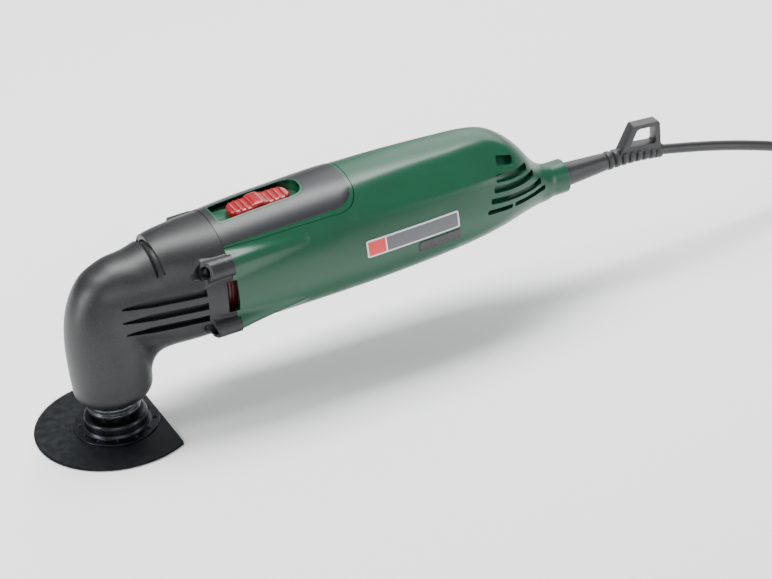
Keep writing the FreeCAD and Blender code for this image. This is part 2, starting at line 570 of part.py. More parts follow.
rear_screw_places = []
for x, z in ((226, 92), (222, 56)):
    surface = Part.makeLine(V(x, 0, z), V(x, 60, z)).common(outer).BoundBox.YMax
    rear_screw_places.append((x, surface - 1.6, z))
motor_housing = shell.cut([cover_hole, side_hole])
side_cover = shell.common(side_prism)
for x, seat, z in rear_screw_places:
    motor_housing = motor_housing.cut(plain_rod(Y, (x, 14, z), 1.6, 20))
    side_cover = side_cover.cut([plain_rod(Y, (x, 14, z), 1.6, 40),
                                 plain_rod(Y, (x, seat, z), 3.1, 10)])
keep("motor_housing", freeform("MotorHousing", max(motor_housing.Solids, key=lambda s: s.Volume)))
keep("rear_side_cover", freeform("SideCover", max(side_cover.Solids, key=lambda s: s.Volume)))

# top cover with the switch recess, and the soft grip over it
recess_x0, recess_x1 = size("recess_from"), size("recess_to")
recess_y, floor = size("recess_half"), size("recess_floor")
thin = size("recess_wall")
tub = plain_box(recess_x0 - thin, recess_x1 + thin, -recess_y - thin, recess_y + thin,
                floor - thin, 110).common(outer)
tub = tub.cut(plain_box(recess_x0, recess_x1, -recess_y, recess_y, floor, 112))
grip_prism = arch_prism(size("grip_to"), size("grip_low"))
under_grip = shell_loft(BODY, size("grip_thick"), (-1.0, 0.0))
grip_layer = skin.common(grip_prism).cut([under_grip, plain_box(
    recess_x0 - thin, recess_x1 + thin, -recess_y - thin, recess_y + thin, 90, 120)])
cover = skin.common(cover_prism).cut(grip_layer)
cover = cover.cut(plain_box(recess_x0, recess_x1, -recess_y, recess_y, 90, 120)).fuse(tub)
stem_slot = plain_box(size("stem_from - slider_travel") - 0.5, size("stem_to") + 0.5,
                      -size("stem_half") - 0.4, size("stem_half") + 0.4, 90, 110)
keep("top_cover", freeform("TopCover", cover.cut(stem_slot)))
keep("grip_overmould", freeform("Grip", grip_layer))
keep("air_guide_ring", ring("X", ("window_from - 2", 0, "motor_axis"), "24.2", "26.6", "8.5"))

# ------------------------------------------------------------------ switch train
slider_base = doc.addObject("Part::Box", "SliderBase")
for side, expression in (("Length", "slider_to - slider_from"), ("Width", "2 * slider_half"),
                         ("Height", "slider_high - slider_low")):
    slider_base.setExpression(side, bind(expression))
place(slider_base, ("slider_from", "-slider_half", "slider_low"))
doc.recompute()
rounded = doc.addObject("Part::Fillet", "SliderRounded")
rounded.Base = slider_base
upright = [i for i, edge in enumerate(slider_base.Shape.Edges, start=1)
           if abs(edge.tangentAt(edge.FirstParameter).z) > 0.99]
rounded.Edges = [(i, 4.5, 4.5) for i in upright]
slider_ribs = [box((f"slider_from + {start}", f"slider_from + {start} + 1"),
                   ("-slider_half + 0.8", "slider_half - 0.8"),
                   ("slider_high - 1", "slider_high + 0.35"))
               for start in (3, 5.5, 8, 10.5, 20, 22.5, 25, 27.5, 30)]
ridge = box(("slider_from + 12.8", "slider_from + 17.5"),
            ("-slider_half + 0.6", "slider_half - 0.6"), ("slider_high - 1", "slider_ridge"))
stem = box(("stem_from", "stem_to"), ("-stem_half", "stem_half"), ("rod_high", "slider_low + 1"))
keep("switch_slider", fuse(rounded, ridge, stem, *slider_ribs))
keep("switch_rod", fuse(
    box(("rod_from", "rod_to"), ("-rod_half", "rod_half"), ("rod_low", "rod_high")),
    box(("rod_to - 2", "rod_to"), ("-rod_half", "rod_half"), ("rod_high - 7", "rod_high"))))
keep("switch_body", fuse(
    box(("switch_from", "switch_to"), ("-8", "8"), ("86", "101")),
    box(("switch_from - 1.4", "switch_from + 1"), ("-1.5", "1.5"), ("93", "96"))))

# ------------------------------------------------------------------ electrics in the tail
keep("suppression_capacitor", fuse(
    box(("166", "190"), ("-7.5", "7.5"), ("58", "72")),
    cylinder("X", ("160", "0", "65"), "0.8", "7")))
keep("terminal_block", cut(
    box(("202", "214"), ("-9", "9"), ("57", "66")),
    *[cylinder("Z", (208, at, 60), "1.6", 8) for at in ("-5.5", "0", "5.5")]))
clamp_screws = [fuse(cylinder("Z", (240, at, "collar_axis - 7"), "1.4", "11"),
                     cylinder("Z", (240, at, "collar_axis + 5.55"), "2.7", "2"),
                     cylinder("Z", (240, at, "collar_axis + 3.9"), "1.4", "2"))
                for at in ("-6.4", "6.4")]
keep("cord_clamp_screws", group(*clamp_screws))
keep("cord_clamp", cut(
    box(("236.5", "243.5"), ("-9", "9"), ("collar_axis + 2.95", "collar_axis + 5.5")),
    *[cylinder("Z", (240, at, "collar_axis"), "1.5", "8") for at in ("-6.4", "6.4")]))
keep("inner_cord", cylinder("X", (215, 0, "collar_axis"), "cord_diameter / 2 - 0.05", "37.5"))

# ------------------------------------------------------------------ fasteners and badges
head_screws = []
for y, z in boss_places:
    at = (str(y), str(z))
    solid = fuse(cylinder("X", ("boss_from + 3", *at), "head_screw_head", "3"),
                 cylinder("X", ("boss_from + 5.9", *at), "head_screw_shank", "13.5"))
    drive = doc.addObject("Part::Prism", "ScrewDrive")
    drive.Polygon = 6
    drive.setExpression("Circumradius", bind("head_screw_shank"))
    drive.Height = 3
    place(drive, ("boss_from + 1.8", *at), TURN["X"])
    head_screws.append(cut(solid, drive))
keep("head_screws", group(*head_screws))
rear_screws = []
for x, seat, z in rear_screw_places:
    rear_screws.append(fuse(cylinder("Y", (x, seat, z), "2.9", "1.8"),
                            cylinder("Y", (x, seat - 9, z), "1.4", "9.5")))
keep("rear_cover_screws", group(*rear_screws))


def flank_plate(x_from, x_to, low, high, proud, corner):
    """A thin plate with rounded corners that follows the housing's right flank."""
    block = plain_box(x_from, x_to, -40, -20, low, high)
    block = block.makeFillet(corner, [e for e in block.Edges
                                      if abs(e.tangentAt(e.FirstParameter).y) > 0.99])
    grown = shell_loft([(at, half_w + proud, top, bottom) for at, half_w, top, bottom in BODY])
    return block.common(grown).cut(outer)


keep("name_badge", freeform("Badge", flank_plate(
    size("badge_from"), size("badge_to"), size("badge_low"), size("badge_high"), 0.7, 1.2)))
keep("rating_label", freeform("RatingLabel", flank_plate(
    size("plate_from"), size("plate_to"), size("plate_low"), size("plate_high"), 0.3, 0.8)))

# ------------------------------------------------------------------ strain relief
bend, turn = size("relief_bend"), math.radians(size("relief_turn"))
straight_to = size("relief_straight_to")


def relief_point(s):
    """The point and the direction of the relief's middle line, s past its straight part."""
    angle = max(0.0, s) / bend
    return (V(straight_to + (bend * math.sin(angle) if s > 0 else s), 0,
              collar_z - bend * (1 - math.cos(angle))),
            V(math.cos(angle), 0, -math.sin(angle)))


relief_end, relief_way = relief_point(bend * turn)
spine = Part.Wire([
    Part.LineSegment(V(290, 0, collar_z), V(straight_to, 0, collar_z)).toShape(),
    Part.Arc(V(straight_to, 0, collar_z), relief_point(bend * turn / 2)[0],
             relief_end).toShape()])
core = spine.makePipeShell([Part.Wire(Part.Circle(V(290, 0, collar_z), X,
                                                  size("relief_core")).toShape())], True, False)
relief = plain_rod(X, (252.5, 0, collar_z), size("collar_bore") - 0.1, 20)
relief = relief.fuse(Part.makeCone(size("relief_root"), size("relief_neck"), 26,
                                   V(271, 0, collar_z), X)).fuse(core)
for i in range(int(size("relief_ribs"))):
    middle, way = relief_point(i * size("rib_pitch") - 1.0)
    relief = relief.fuse(Part.makeCylinder(5.1 - 0.13 * i, size("rib_wide"),
                                           middle - way * (size("rib_wide") / 2), way))
relief = relief.fuse(Part.makeCylinder(4.3, 4.5, relief_end - relief_way * 4.5, relief_way))
thick = size("loop_thick")
loop_face = Part.Face(Part.makePolygon([V(x, 0, z) for x, z in (
    (304.5, 63), (306, 66.4), (314.3, 79.6), (330.6, 78.2), (330.4, 60.5), (304.5, 63))]))
loop_hole = Part.Face(Part.makePolygon([V(x, 0, z) for x, z in (
    (310.8, 68.2), (316.4, 77.2), (327.9, 76.2), (327.4, 66.2), (310.8, 68.2))]))
loop = loop_face.extrude(V(0, thick, 0)).cut(loop_hole.extrude(V(0, thick, 0)))
loop.translate(V(0, -thick / 2, 0))
relief = relief.fuse(loop)
inner_hole = plain_rod(X, (250, 0, collar_z), size("cord_diameter") / 2, 4)
keep("strain_relief", freeform("StrainRelief", relief.cut(inner_hole)))

# ------------------------------------------------------------------ cord
CORD_ROUTE = [(352, 0, 53.7), (378, 0, 46.4), (405, 0.5, 36.9), (430, 2.5, 25.2),
              (449, 6.5, 12.8), (469, 14, 2.9), (490.5, 20.4, 2.9)]
cord_radius = size("cord_diameter") / 2


def cord_tube(route):
    """A tube along straight runs joined by tangent arcs, as large as the runs allow."""
    edges, here, radii = [], route[0], []
    for before, corner, after in zip(route, route[1:], route[2:]):
        inward, outward = (corner - before), (after - corner)
        shorter = min(inward.Length, outward.Length)
        bend_angle = inward.getAngle(outward)
        back = 0.45 * shorter
        radii.append(back / math.tan(bend_angle / 2))
        inward, outward = inward.normalize(), outward.normalize()
        start, end = corner - inward * back, corner + outward * back
        bisector = (outward - inward).normalize()
        middle = corner + bisector * (radii[-1] / math.cos(bend_angle / 2) - radii[-1])
        edges += [Part.LineSegment(here, start), Part.Arc(start, middle, end)]
        here = end
    edges.append(Part.LineSegment(here, route[-1]))
    path = Part.Wire([e.toShape() for e in edges])
    direction = route[1] - route[0]
    profile = Part.Wire(Part.Circle(route[0], direction.normalize(), cord_radius).toShape())
    tube = path.makePipeShell([profile], True, False)
    expected = math.pi * cord_radius ** 2 * path.Length
    print("cord bends, mm:", [round(r) for r in radii], "length", round(path.Length, 1),
          "volume ratio", round(tube.Volume / expected, 4))
    return tube


route = [relief_end] + [V(*point) for point in CORD_ROUTE]
keep("power_cord", freeform("PowerCord", cord_tube(route)))
coil_at = ("coil_x", "coil_y", 0)
keep("cord_coil", ring("Z", coil_at, "coil_inner", "coil_outer", "coil_high"))
keep("cord_tail", cylinder("X", ("plug_rear", "plug_y", "plug_axis"), "cord_diameter / 2", "28"))
plug_y, plug_z = size("plug_y"), size("plug_axis")
front, rear = size("plug_front"), size("plug_rear")
plug_sections = []
for at, half_wide_there, half_tall_there in ((front, 18, 8), (front + 8, 18, 8),
                                             (front + 20, 12.5, 7.2), (rear - 6, 5.4, 5.2),
                                             (rear, 4.6, 4.6)):
    plug_sections.append(section("X", at, half_wide_there, plug_z + half_tall_there,
                                 plug_z - half_tall_there))
    plug_sections[-1].translate(V(0, plug_y, 0))
keep("plug", freeform("PlugBody", Part.makeLoft(plug_sections, True, False)))
plug_pins = []
for side in ("-", ""):
    across = f"plug_y + {side}plug_pin_half_gap" if side == "" else "plug_y - plug_pin_half_gap"
    shank = cylinder("X", ("plug_front - plug_pin_length", across, "plug_axis"),
                     "plug_pin_radius", "plug_pin_length")
    tip = doc.addObject("Part::Cone", "PinTip")
    for name, expression in (("Radius1", "plug_pin_radius - 1.1"), ("Radius2", "plug_pin_radius"),
                             ("Height", "2")):
        tip.setExpression(name, bind(expression))
    place(tip, ("plug_front - plug_pin_length - 2", across, "plug_axis"), TURN["X"])
    plug_pins.append(fuse(shank, tip))
keep("plug_pins", group(*plug_pins))

# ------------------------------------------------------------------ check and write
doc.recompute()
for thing in doc.Objects:
    if {"Invalid", "Error"} & set(thing.State):
        raise RuntimeError(f"{thing.Label} failed: {thing.State}")
for piece in nodes:
    if piece.Shape.isNull() or not piece.Shape.isValid() or not piece.Shape.Solids:
        raise RuntimeError(f"{piece.Label} has no valid solid")
os.makedirs("parts", exist_ok=True)
for piece in nodes:
    piece.Shape.exportStep(f"parts/{piece.Label}.step")
    print(f"{piece.Label}: {len(piece.Shape.Solids)} solids, {piece.Shape.Volume:.0f} mm3")
print(len(nodes), "nodes")
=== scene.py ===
"""The looks of an oscillating multi tool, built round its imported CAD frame.

The file is laid out as a Blender add-on and run as a script. Every piece lies in the frame of
the CAD: the origin is under the spindle, +Z goes up it, and +X runs back to the cord.
"""

import json
import math

import bmesh
import bpy
import numpy as np
from bpy.props import (FloatProperty, FloatVectorProperty, IntProperty, PointerProperty,
                       StringProperty)
from mathutils import Matrix, Vector


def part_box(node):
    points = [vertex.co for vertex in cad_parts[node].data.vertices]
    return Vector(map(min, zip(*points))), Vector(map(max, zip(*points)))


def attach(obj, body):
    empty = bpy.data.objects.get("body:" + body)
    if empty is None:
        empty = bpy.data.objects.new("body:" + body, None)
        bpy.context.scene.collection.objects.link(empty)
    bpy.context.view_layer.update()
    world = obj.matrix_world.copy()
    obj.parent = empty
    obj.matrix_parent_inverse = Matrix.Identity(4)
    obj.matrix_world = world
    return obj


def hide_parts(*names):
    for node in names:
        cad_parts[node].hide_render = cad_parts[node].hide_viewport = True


bl_info = {
    "name": "Oscillating Multi Tool",
    "version": (1, 0, 0),
    "blender": (4, 5, 0),
    "location": "3D View > Sidebar > Multi Tool",
    "description": "Builds the pieces, cord and stage of an oscillating multi tool",
    "category": "Add Mesh",
}

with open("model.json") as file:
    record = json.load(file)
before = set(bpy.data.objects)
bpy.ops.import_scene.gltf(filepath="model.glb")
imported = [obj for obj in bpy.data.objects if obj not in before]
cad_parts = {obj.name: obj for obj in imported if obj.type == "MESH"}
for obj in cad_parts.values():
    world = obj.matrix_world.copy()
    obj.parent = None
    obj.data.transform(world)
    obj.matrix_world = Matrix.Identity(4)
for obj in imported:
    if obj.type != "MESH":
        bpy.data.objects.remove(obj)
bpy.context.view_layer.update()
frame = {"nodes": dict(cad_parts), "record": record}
MM = 0.001
PANEL_NAME = "Multi Tool"
AXIS_Z = 75.0           # height of the motor's axis, mm
COLLAR_Z = 62.0         # height of the cord collar's axis, mm
JOINT_X = 64.0          # where the gear head meets the motor housing, mm
BOSS_Y, BOSS_LOW, BOSS_HIGH = 26.6, 55.1, 89.1
BOSS_END = 65.6         # the head's screw bosses reach a little past the joint, mm
BOSS_RADIUS = 5.5


# ------------------------------------------------------------------ sizes and colours
class ToolShells(bpy.types.PropertyGroup):
    """Sizes of the moulded shells, in millimetres where no unit fits."""
    wall: FloatProperty(name="Wall", description="Thickness of the moulded walls, mm",
                        default=2.4, min=1.5, max=3.5)
    seam: FloatProperty(name="Seam", description="Gap between neighbouring mouldings, mm",
                        default=0.4, min=0.2, max=0.8)
    blend: FloatProperty(name="Blend", description="Radius where the neck joins the barrel, mm",
                         default=12.0, min=4.0, max=20.0)


class ToolBlade(bpy.types.PropertyGroup):
    """Sizes of the saw blade."""
    tooth_pitch: FloatProperty(name="Tooth pitch", description="Distance between teeth, mm",
                               default=1.35, min=0.8, max=3.0)
    tooth_depth: FloatProperty(name="Tooth depth", description="Depth of the gullets, mm",
                               default=1.15, min=0.3, max=2.0)
    weld_count: IntProperty(name="Spot welds", description="Welds that hold the hub's plate",
                            default=12, min=6, max=24)


class ToolCord(bpy.types.PropertyGroup):
    """The mains cord."""
    diameter: FloatProperty(name="Diameter", description="Outside diameter of the cord",
                            default=0.0058, unit="LENGTH")
    length: FloatProperty(name="Length", description="From the strain relief to the plug",
                          default=2.5, unit="LENGTH")


class ToolColours(bpy.types.PropertyGroup):
    """Colours of the finishes, as sRGB hex."""
    green: StringProperty(name="Housing", description="Green of the housing", default="00432B")
    charcoal: StringProperty(name="Gear head", description="Charcoal of the head",
                             default="0D0F11")
    grip: StringProperty(name="Grip", description="Grey of the soft grip", default="1C1E22")
    red: StringProperty(name="Slider", description="Red of the switch slider", default="8A0208")
    deep_red: StringProperty(name="Air guide", description="Red of the air guide ring",
                             default="480203")
    cord: StringProperty(name="Cord", description="Black of the cord and strain relief",
                         default="1B1C1E")


class ToolCamera(bpy.types.PropertyGroup):
    """Where the camera stands, looking at the whole tool."""
    azimuth: FloatProperty(name="Azimuth", description="Turn round the tool from its side",
                           default=math.radians(-22.639), subtype="ANGLE")
    elevation: FloatProperty(name="Elevation", description="Height above the horizon",
                             default=math.radians(31.276), subtype="ANGLE")
    roll: FloatProperty(name="Roll", description="Tilt of the picture",
                        default=math.radians(-6.035), subtype="ANGLE")
    lens: FloatProperty(name="Lens", description="Focal length on a 36 mm wide sensor, mm",
                        default=146.98)
    offset: FloatVectorProperty(name="Offset", size=3, unit="LENGTH",
                                description="Camera from the origin: right, up and back",
                                default=(0.14125, 0.07065, 1.6565))


# ------------------------------------------------------------------ materials
def colour(code):
    """The linear colour of an sRGB hex value such as 33373B."""
    parts = [int(code[i:i + 2], 16) / 255 for i in (0, 2, 4)]
    linear = [c / 12.92 if c <= 0.04045 else ((c + 0.055) / 1.055) ** 2.4 for c in parts]
    return (*linear, 1.0)


def add(tree, kind, settings=None, **inputs):
    """Add a node. An input named s0, s1... is a socket by number; spaces are underscores."""
    made = tree.nodes.new(kind)
    for name, value in (settings or {}).items():
        setattr(made, name, value)
    for name, value in inputs.items():
        numbered = name[0] == "s" and name[1:].isdigit()
        socket = made.inputs[int(name[1:]) if numbered else name.replace("_", " ")]
        if isinstance(value, bpy.types.NodeSocket):
            tree.links.new(value, socket)
        else:
            socket.default_value = value
    return made


def new_material(name, base, **shader_inputs):
    """A material with its shader, ready for its pattern nodes."""
    made = bpy.data.materials.new(name)
    made.use_nodes = True
    tree = made.node_tree
    tree.nodes.clear()
    shader = add(tree, "ShaderNodeBsdfPrincipled", Base_Color=base, **shader_inputs)
    add(tree, "ShaderNodeOutputMaterial", Surface=shader.outputs["BSDF"])
    made.diffuse_color = base
    place = add(tree, "ShaderNodeTexCoord").outputs["Object"]
    return made, tree, shader, place


def darker(base, share):
    return (*[c * share for c in base[:3]], 1.0)


def moulded_plastic(name, base, grain, depth, rough, painted_glint=0.0, coat=0.0):
    """Spark eroded moulded plastic: an even pebble grain, grain and depth in millimetres,
    that breaks up the highlight, and sparse painted glints: a paler colour on the tops of the
    grain."""
    made, tree, shader, place = new_material(name, base, Roughness=rough, IOR=1.5,
                                             Coat_Weight=coat, Coat_Roughness=0.25)
    pebbles = add(tree, "ShaderNodeTexNoise", Vector=place, Scale=1 / (grain * MM),
                  Detail=3.0, Roughness=0.6).outputs["Fac"]
    # painted glints: the tops of the grain are mixed towards a paler colour
    glint_crests = add(tree, "ShaderNodeMapRange", Value=pebbles, s1=0.56, s2=0.74,
                 s3=0.0, s4=painted_glint).outputs["Result"]
    cloud = add(tree, "ShaderNodeTexNoise", Vector=place, Scale=1 / (30 * MM),
                Detail=2.0).outputs["Fac"]
    tone = add(tree, "ShaderNodeMapRange", Value=cloud, s1=0.3, s2=0.7, s3=0.92,
               s4=1.06).outputs["Result"]
    toned = add(tree, "ShaderNodeVectorMath", {"operation": "SCALE"}, s0=base[:3],
                Scale=tone).outputs["Vector"]
    # the paler colour of the painted glints
    pale = tuple(min(1.0, c * 1.5 + 0.13) for c in base[:3]) + (1.0,)
    mixed = add(tree, "ShaderNodeMix", {"data_type": "RGBA"}, s0=glint_crests, s6=toned, s7=pale)
    tree.links.new(mixed.outputs[2], shader.inputs["Base Color"])
    varied = add(tree, "ShaderNodeMapRange", Value=pebbles, s1=0.3, s2=0.7,
                 s3=rough - 0.06, s4=rough + 0.08).outputs["Result"]
    tree.links.new(varied, shader.inputs["Roughness"])
    bump = add(tree, "ShaderNodeBump", Strength=0.7, Distance=depth * MM, Height=pebbles)
    tree.links.new(bump.outputs["Normal"], shader.inputs["Normal"])
    return made


def turned_metal(name, base, rough, pitch=0.35, metallic=1.0, stain=0.12):
    """Turned or ground metal: fine tool lines along Z and a slow change of tone with stains."""
    made, tree, shader, place = new_material(name, base, Metallic=metallic, Roughness=rough)
    stretched = add(tree, "ShaderNodeMapping", Vector=place,
                    Scale=(0.12, 0.12, 1.0)).outputs["Vector"]
    lines = add(tree, "ShaderNodeTexNoise", Vector=stretched, Scale=1 / (pitch * MM),
                Detail=2.0).outputs["Fac"]
    cloud = add(tree, "ShaderNodeTexNoise", Vector=place, Scale=1 / (6 * MM),
                Detail=4.0).outputs["Fac"]
    tone = add(tree, "ShaderNodeMapRange", Value=cloud, s1=0.3, s2=0.7, s3=1 - stain,
               s4=1 + stain).outputs["Result"]
    toned = add(tree, "ShaderNodeVectorMath", {"operation": "SCALE"}, s0=base[:3],
                Scale=tone).outputs["Vector"]
    tree.links.new(toned, shader.inputs["Base Color"])
    varied = add(tree, "ShaderNodeMapRange", Value=lines, s1=0.3, s2=0.7, s3=rough * 0.8,
                 s4=rough * 1.25).outputs["Result"]
    tree.links.new(varied, shader.inputs["Roughness"])
    bump = add(tree, "ShaderNodeBump", Strength=0.35, Distance=0.03 * MM, Height=lines)
    tree.links.new(bump.outputs["Normal"], shader.inputs["Normal"])
    return made


def wound_copper(name, base):
    """Enamelled copper wire: close glossy strands, 0.6 mm apart, drawn by a wave along X; painted
    shade darkens the grooves between them.
    """
    made, tree, shader, place = new_material(name, base, Metallic=0.7, Roughness=0.3,
                                             Coat_Weight=0.6)
    strands = add(tree, "ShaderNodeTexWave", {"bands_direction": "DIAGONAL"}, Vector=place,
                  Scale=1 / (2 * 0.6 * MM * math.pi), Distortion=1.5, Detail=1.0).outputs["Fac"]
    # painted shade: the wave darkens the copper to a quarter between the strands
    shade = add(tree, "ShaderNodeMix", {"data_type": "RGBA"}, s0=strands, s6=darker(base, 0.25),
                s7=base)
    tree.links.new(shade.outputs[2], shader.inputs["Base Color"])
    bump = add(tree, "ShaderNodeBump", Strength=0.8, Distance=0.2 * MM, Height=strands)
    tree.links.new(bump.outputs["Normal"], shader.inputs["Normal"])
    return made


def laminated_iron(name, base):
    """A stack of 0.5 mm punched sheets: thin dark gaps across X on satin iron."""
    made, tree, shader, place = new_material(name, base, Metallic=1.0, Roughness=0.42)
    sheets = add(tree, "ShaderNodeTexWave", {"bands_direction": "X"}, Vector=place,
                 Scale=1 / (20 * 0.5 * MM / math.pi), Distortion=0.2).outputs["Fac"]
    shade = add(tree, "ShaderNodeMix", {"data_type": "RGBA"}, s0=sheets, s6=darker(base, 0.4),
                s7=base)
    tree.links.new(shade.outputs[2], shader.inputs["Base Color"])
    bump = add(tree, "ShaderNodeBump", Strength=0.5, Distance=0.08 * MM, Height=sheets)
    tree.links.new(bump.outputs["Normal"], shader.inputs["Normal"])
    return made


def moulded_rubber(name, base, rough):
    """Rubber or soft PVC: satin, with a weak sheen and a slight unevenness from the mould."""
    made, tree, shader, place = new_material(name, base, Roughness=rough, IOR=1.52,
                                             Sheen_Weight=0.08)
    cloud = add(tree, "ShaderNodeTexNoise", Vector=place, Scale=1 / (1.2 * MM),
                Detail=4.0).outputs["Fac"]
    varied = add(tree, "ShaderNodeMapRange", Value=cloud, s1=0.3, s2=0.7, s3=rough - 0.07,
                 s4=rough + 0.09).outputs["Result"]
    tree.links.new(varied, shader.inputs["Roughness"])
    bump = add(tree, "ShaderNodeBump", Strength=0.3, Distance=0.05 * MM, Height=cloud)
    tree.links.new(bump.outputs["Normal"], shader.inputs["Normal"])
    return made


def band_factor(tree, along, low, high):
    """1 where a coordinate in metres lies between two places in millimetres, else 0."""
    above = add(tree, "ShaderNodeMath", {"operation": "GREATER_THAN"}, s0=along, s1=low * MM)
    below = add(tree, "ShaderNodeMath", {"operation": "LESS_THAN"}, s0=along, s1=high * MM)
    return add(tree, "ShaderNodeMath", {"operation": "MULTIPLY"}, s0=above.outputs[0],
               s1=below.outputs[0]).outputs[0]


def printed_badge(name, silver, red, grey):
    """A foil badge: silver rim, a plain red field at its front end and a plain grey one."""
    made, tree, shader, place = new_material(name, silver, Roughness=0.28, Metallic=0.35,
                                             Coat_Weight=0.6)
    axes = add(tree, "ShaderNodeSeparateXYZ", Vector=place).outputs
    tall = band_factor(tree, axes["Z"], 71.75, 79.75)
    red_field = add(tree, "ShaderNodeMath", {"operation": "MULTIPLY"}, s0=tall,
                    s1=band_factor(tree, axes["X"], 139.2, 149.2)).outputs[0]
    grey_field = add(tree, "ShaderNodeMath", {"operation": "MULTIPLY"}, s0=tall,
                     s1=band_factor(tree, axes["X"], 150.0, 192.1)).outputs[0]
    brushed = add(tree, "ShaderNodeTexNoise", Scale=1 / (0.4 * MM), Vector=add(
        tree, "ShaderNodeMapping", Vector=place, Scale=(0.05, 1, 1)).outputs[0]).outputs["Fac"]
    shade = add(tree, "ShaderNodeMix", {"data_type": "RGBA"}, s0=brushed, s6=darker(grey, 0.75),
                s7=darker(grey, 1.3))
    first = add(tree, "ShaderNodeMix", {"data_type": "RGBA"}, s0=red_field, s6=silver, s7=red)
    second = add(tree, "ShaderNodeMix", {"data_type": "RGBA"}, s0=grey_field,
                 s6=first.outputs[2], s7=shade.outputs[2])
    tree.links.new(second.outputs[2], shader.inputs["Base Color"])
    return made


def pale_floor(name):
    """A plain matt studio sheet."""
    made, tree, shader, place = new_material(name, (0.93, 0.93, 0.93, 1.0), Roughness=0.85)
    soft = add(tree, "ShaderNodeTexNoise", Vector=place, Scale=2.0, Detail=1.0).outputs["Fac"]
    tone = add(tree, "ShaderNodeMapRange", Value=soft, s1=0.3, s2=0.7, s3=0.83,
               s4=0.9).outputs["Result"]
    tree.links.new(tone, shader.inputs["Roughness"])
    return made


def make_materials(colours):
    """Every finish of the tool, by the name of the record's material slot."""
    green, charcoal = colour(colours.green), colour(colours.charcoal)
    return {
        # ABS with a fine grain: the highlight spreads into a bright freckled band, with faint
        # painted glints on the grain
        "green_plastic": moulded_plastic("green_grained_abs", green, 0.5, 0.05, 0.34, 0.06),
        # glass filled polyamide, coarser spark eroded: matt, with tiny bright painted glints on the
        # grain
        "charcoal_plastic": moulded_plastic("charcoal_glass_filled_polyamide", charcoal, 0.55,
                                            0.10, 0.42, 0.22),
        # soft thermoplastic elastomer moulded over the cover: satin and very even
        "grip_rubber": moulded_plastic("grey_soft_grip", colour(colours.grip), 0.35, 0.02, 0.36),
        "red_plastic": moulded_plastic("red_glossy_abs", colour(colours.red), 0.4, 0.015, 0.26,
                                       0.0, 0.3),
        "dark_red_plastic": moulded_plastic("deep_red_polyamide", colour(colours.deep_red), 0.5,
                                            0.02, 0.4),
        "black_plastic": moulded_plastic("black_polyamide", colour("17181A"), 0.5, 0.04, 0.45),
        "yellow_plastic": moulded_plastic("yellow_capacitor_case", colour("D8B530"), 0.6, 0.02,
                                          0.35),
        "white_plastic": moulded_plastic("white_terminal_polyamide", colour("D9D8D2"), 0.6, 0.02,
                                         0.4),
        # pressed carbon, with painted glints on its grain
        "carbon": moulded_plastic("pressed_carbon", colour("1A1A1B"), 0.2, 0.03, 0.55, 0.15),
        # black oxide on rolled sheet: nearly black, with a soft metallic sheen
        "blued_steel": turned_metal("black_oxide_blade_steel", colour("2A2D30"), 0.36, 0.5, 0.85,
                                    0.08),
        "steel": turned_metal("blackened_turned_steel", colour("5A5D60"), 0.3),
        "black_steel": turned_metal("black_oxide_screw_steel", colour("303236"), 0.34),
        "bearing_steel": turned_metal("ground_bearing_steel", colour("C9CACC"), 0.15, 0.2,
                                      stain=0.03),
        "core_steel": laminated_iron("laminated_core_iron", colour("7C7D7F")),
        "die_cast_aluminium": turned_metal("die_cast_aluminium", colour("8C8E90"), 0.5, 0.9),
        "copper_winding": wound_copper("enamelled_copper_wire", colour("B4602A")),
        "copper": turned_metal("turned_copper", colour("C77B52"), 0.22, 0.3),
        "brass": turned_metal("drawn_brass", colour("C9A24E"), 0.25, 0.4),
        "nickel_brass": turned_metal("nickel_plated_brass", colour("C6C3BB"), 0.18, 0.5,
                                     stain=0.03),
        "rubber": moulded_rubber("black_nitrile_rubber", colour("161617"), 0.6),
        "cord_rubber": moulded_rubber("black_cord_rubber", colour(colours.cord), 0.42),
        "plug_rubber": moulded_rubber("black_plug_pvc", colour("1E1F21"), 0.5),
        "badge": printed_badge("foil_badge", colour("C4C6C8"), colour("C81A20"),
                               colour("4A4C50")),
        "label": moulded_rubber("black_printed_film", colour("151517"), 0.3),
    }


FINISHES = {}


# ------------------------------------------------------------------ shapes as fields
# A field gives, for points in millimetres, about how far each lies outside a shape.
BODY = np.array([  # x, half width, top, bottom
    (64, 31, 104.8, 42.3), (85, 32, 106.3, 42.1), (110, 32.5, 107.3, 42.1),
    (138, 32.8, 108, 42.4), (170, 32, 107.8, 43.4), (200, 30.4, 106.6, 45.3),
    (214, 29, 105.9, 46.8), (225, 26.9, 103.9, 48.5), (234, 23.5, 99.4, 50),
    (243, 18.7, 90.8, 51.2), (252, 13, 78, 52), (258, 10.5, 72.5, 52.4),
    (272, 9.6, 71.6, 52.5)])
BARREL = np.array([(-10.5, 9, 84.5, 62), (-4, 15.5, 91, 54), (5, 19.8, 95.8, 48),
                   (20, 23, 99.4, 44), (34, 26, 103.2, 41.2), (48, 28.8, 104.4, 41.3),
                   (64, 31, 104.8, 42.3), (70, 31.3, 105.3, 42.2)])
NECK = np.array([  # z, front, rear, half width
    (19.5, -17.6, 17.6, 17.6), (22.5, -19.4, 21, 20), (30, -20.2, 22.6, 20.9),
    (42, -20.6, 23, 21), (54, -20.4, 22.6, 20.2), (66, -18.9, 22, 19.3),
    (77, -15.6, 21, 17.5), (86, -10.5, 19, 14.5), (93, -4.0, 17, 10.0)])


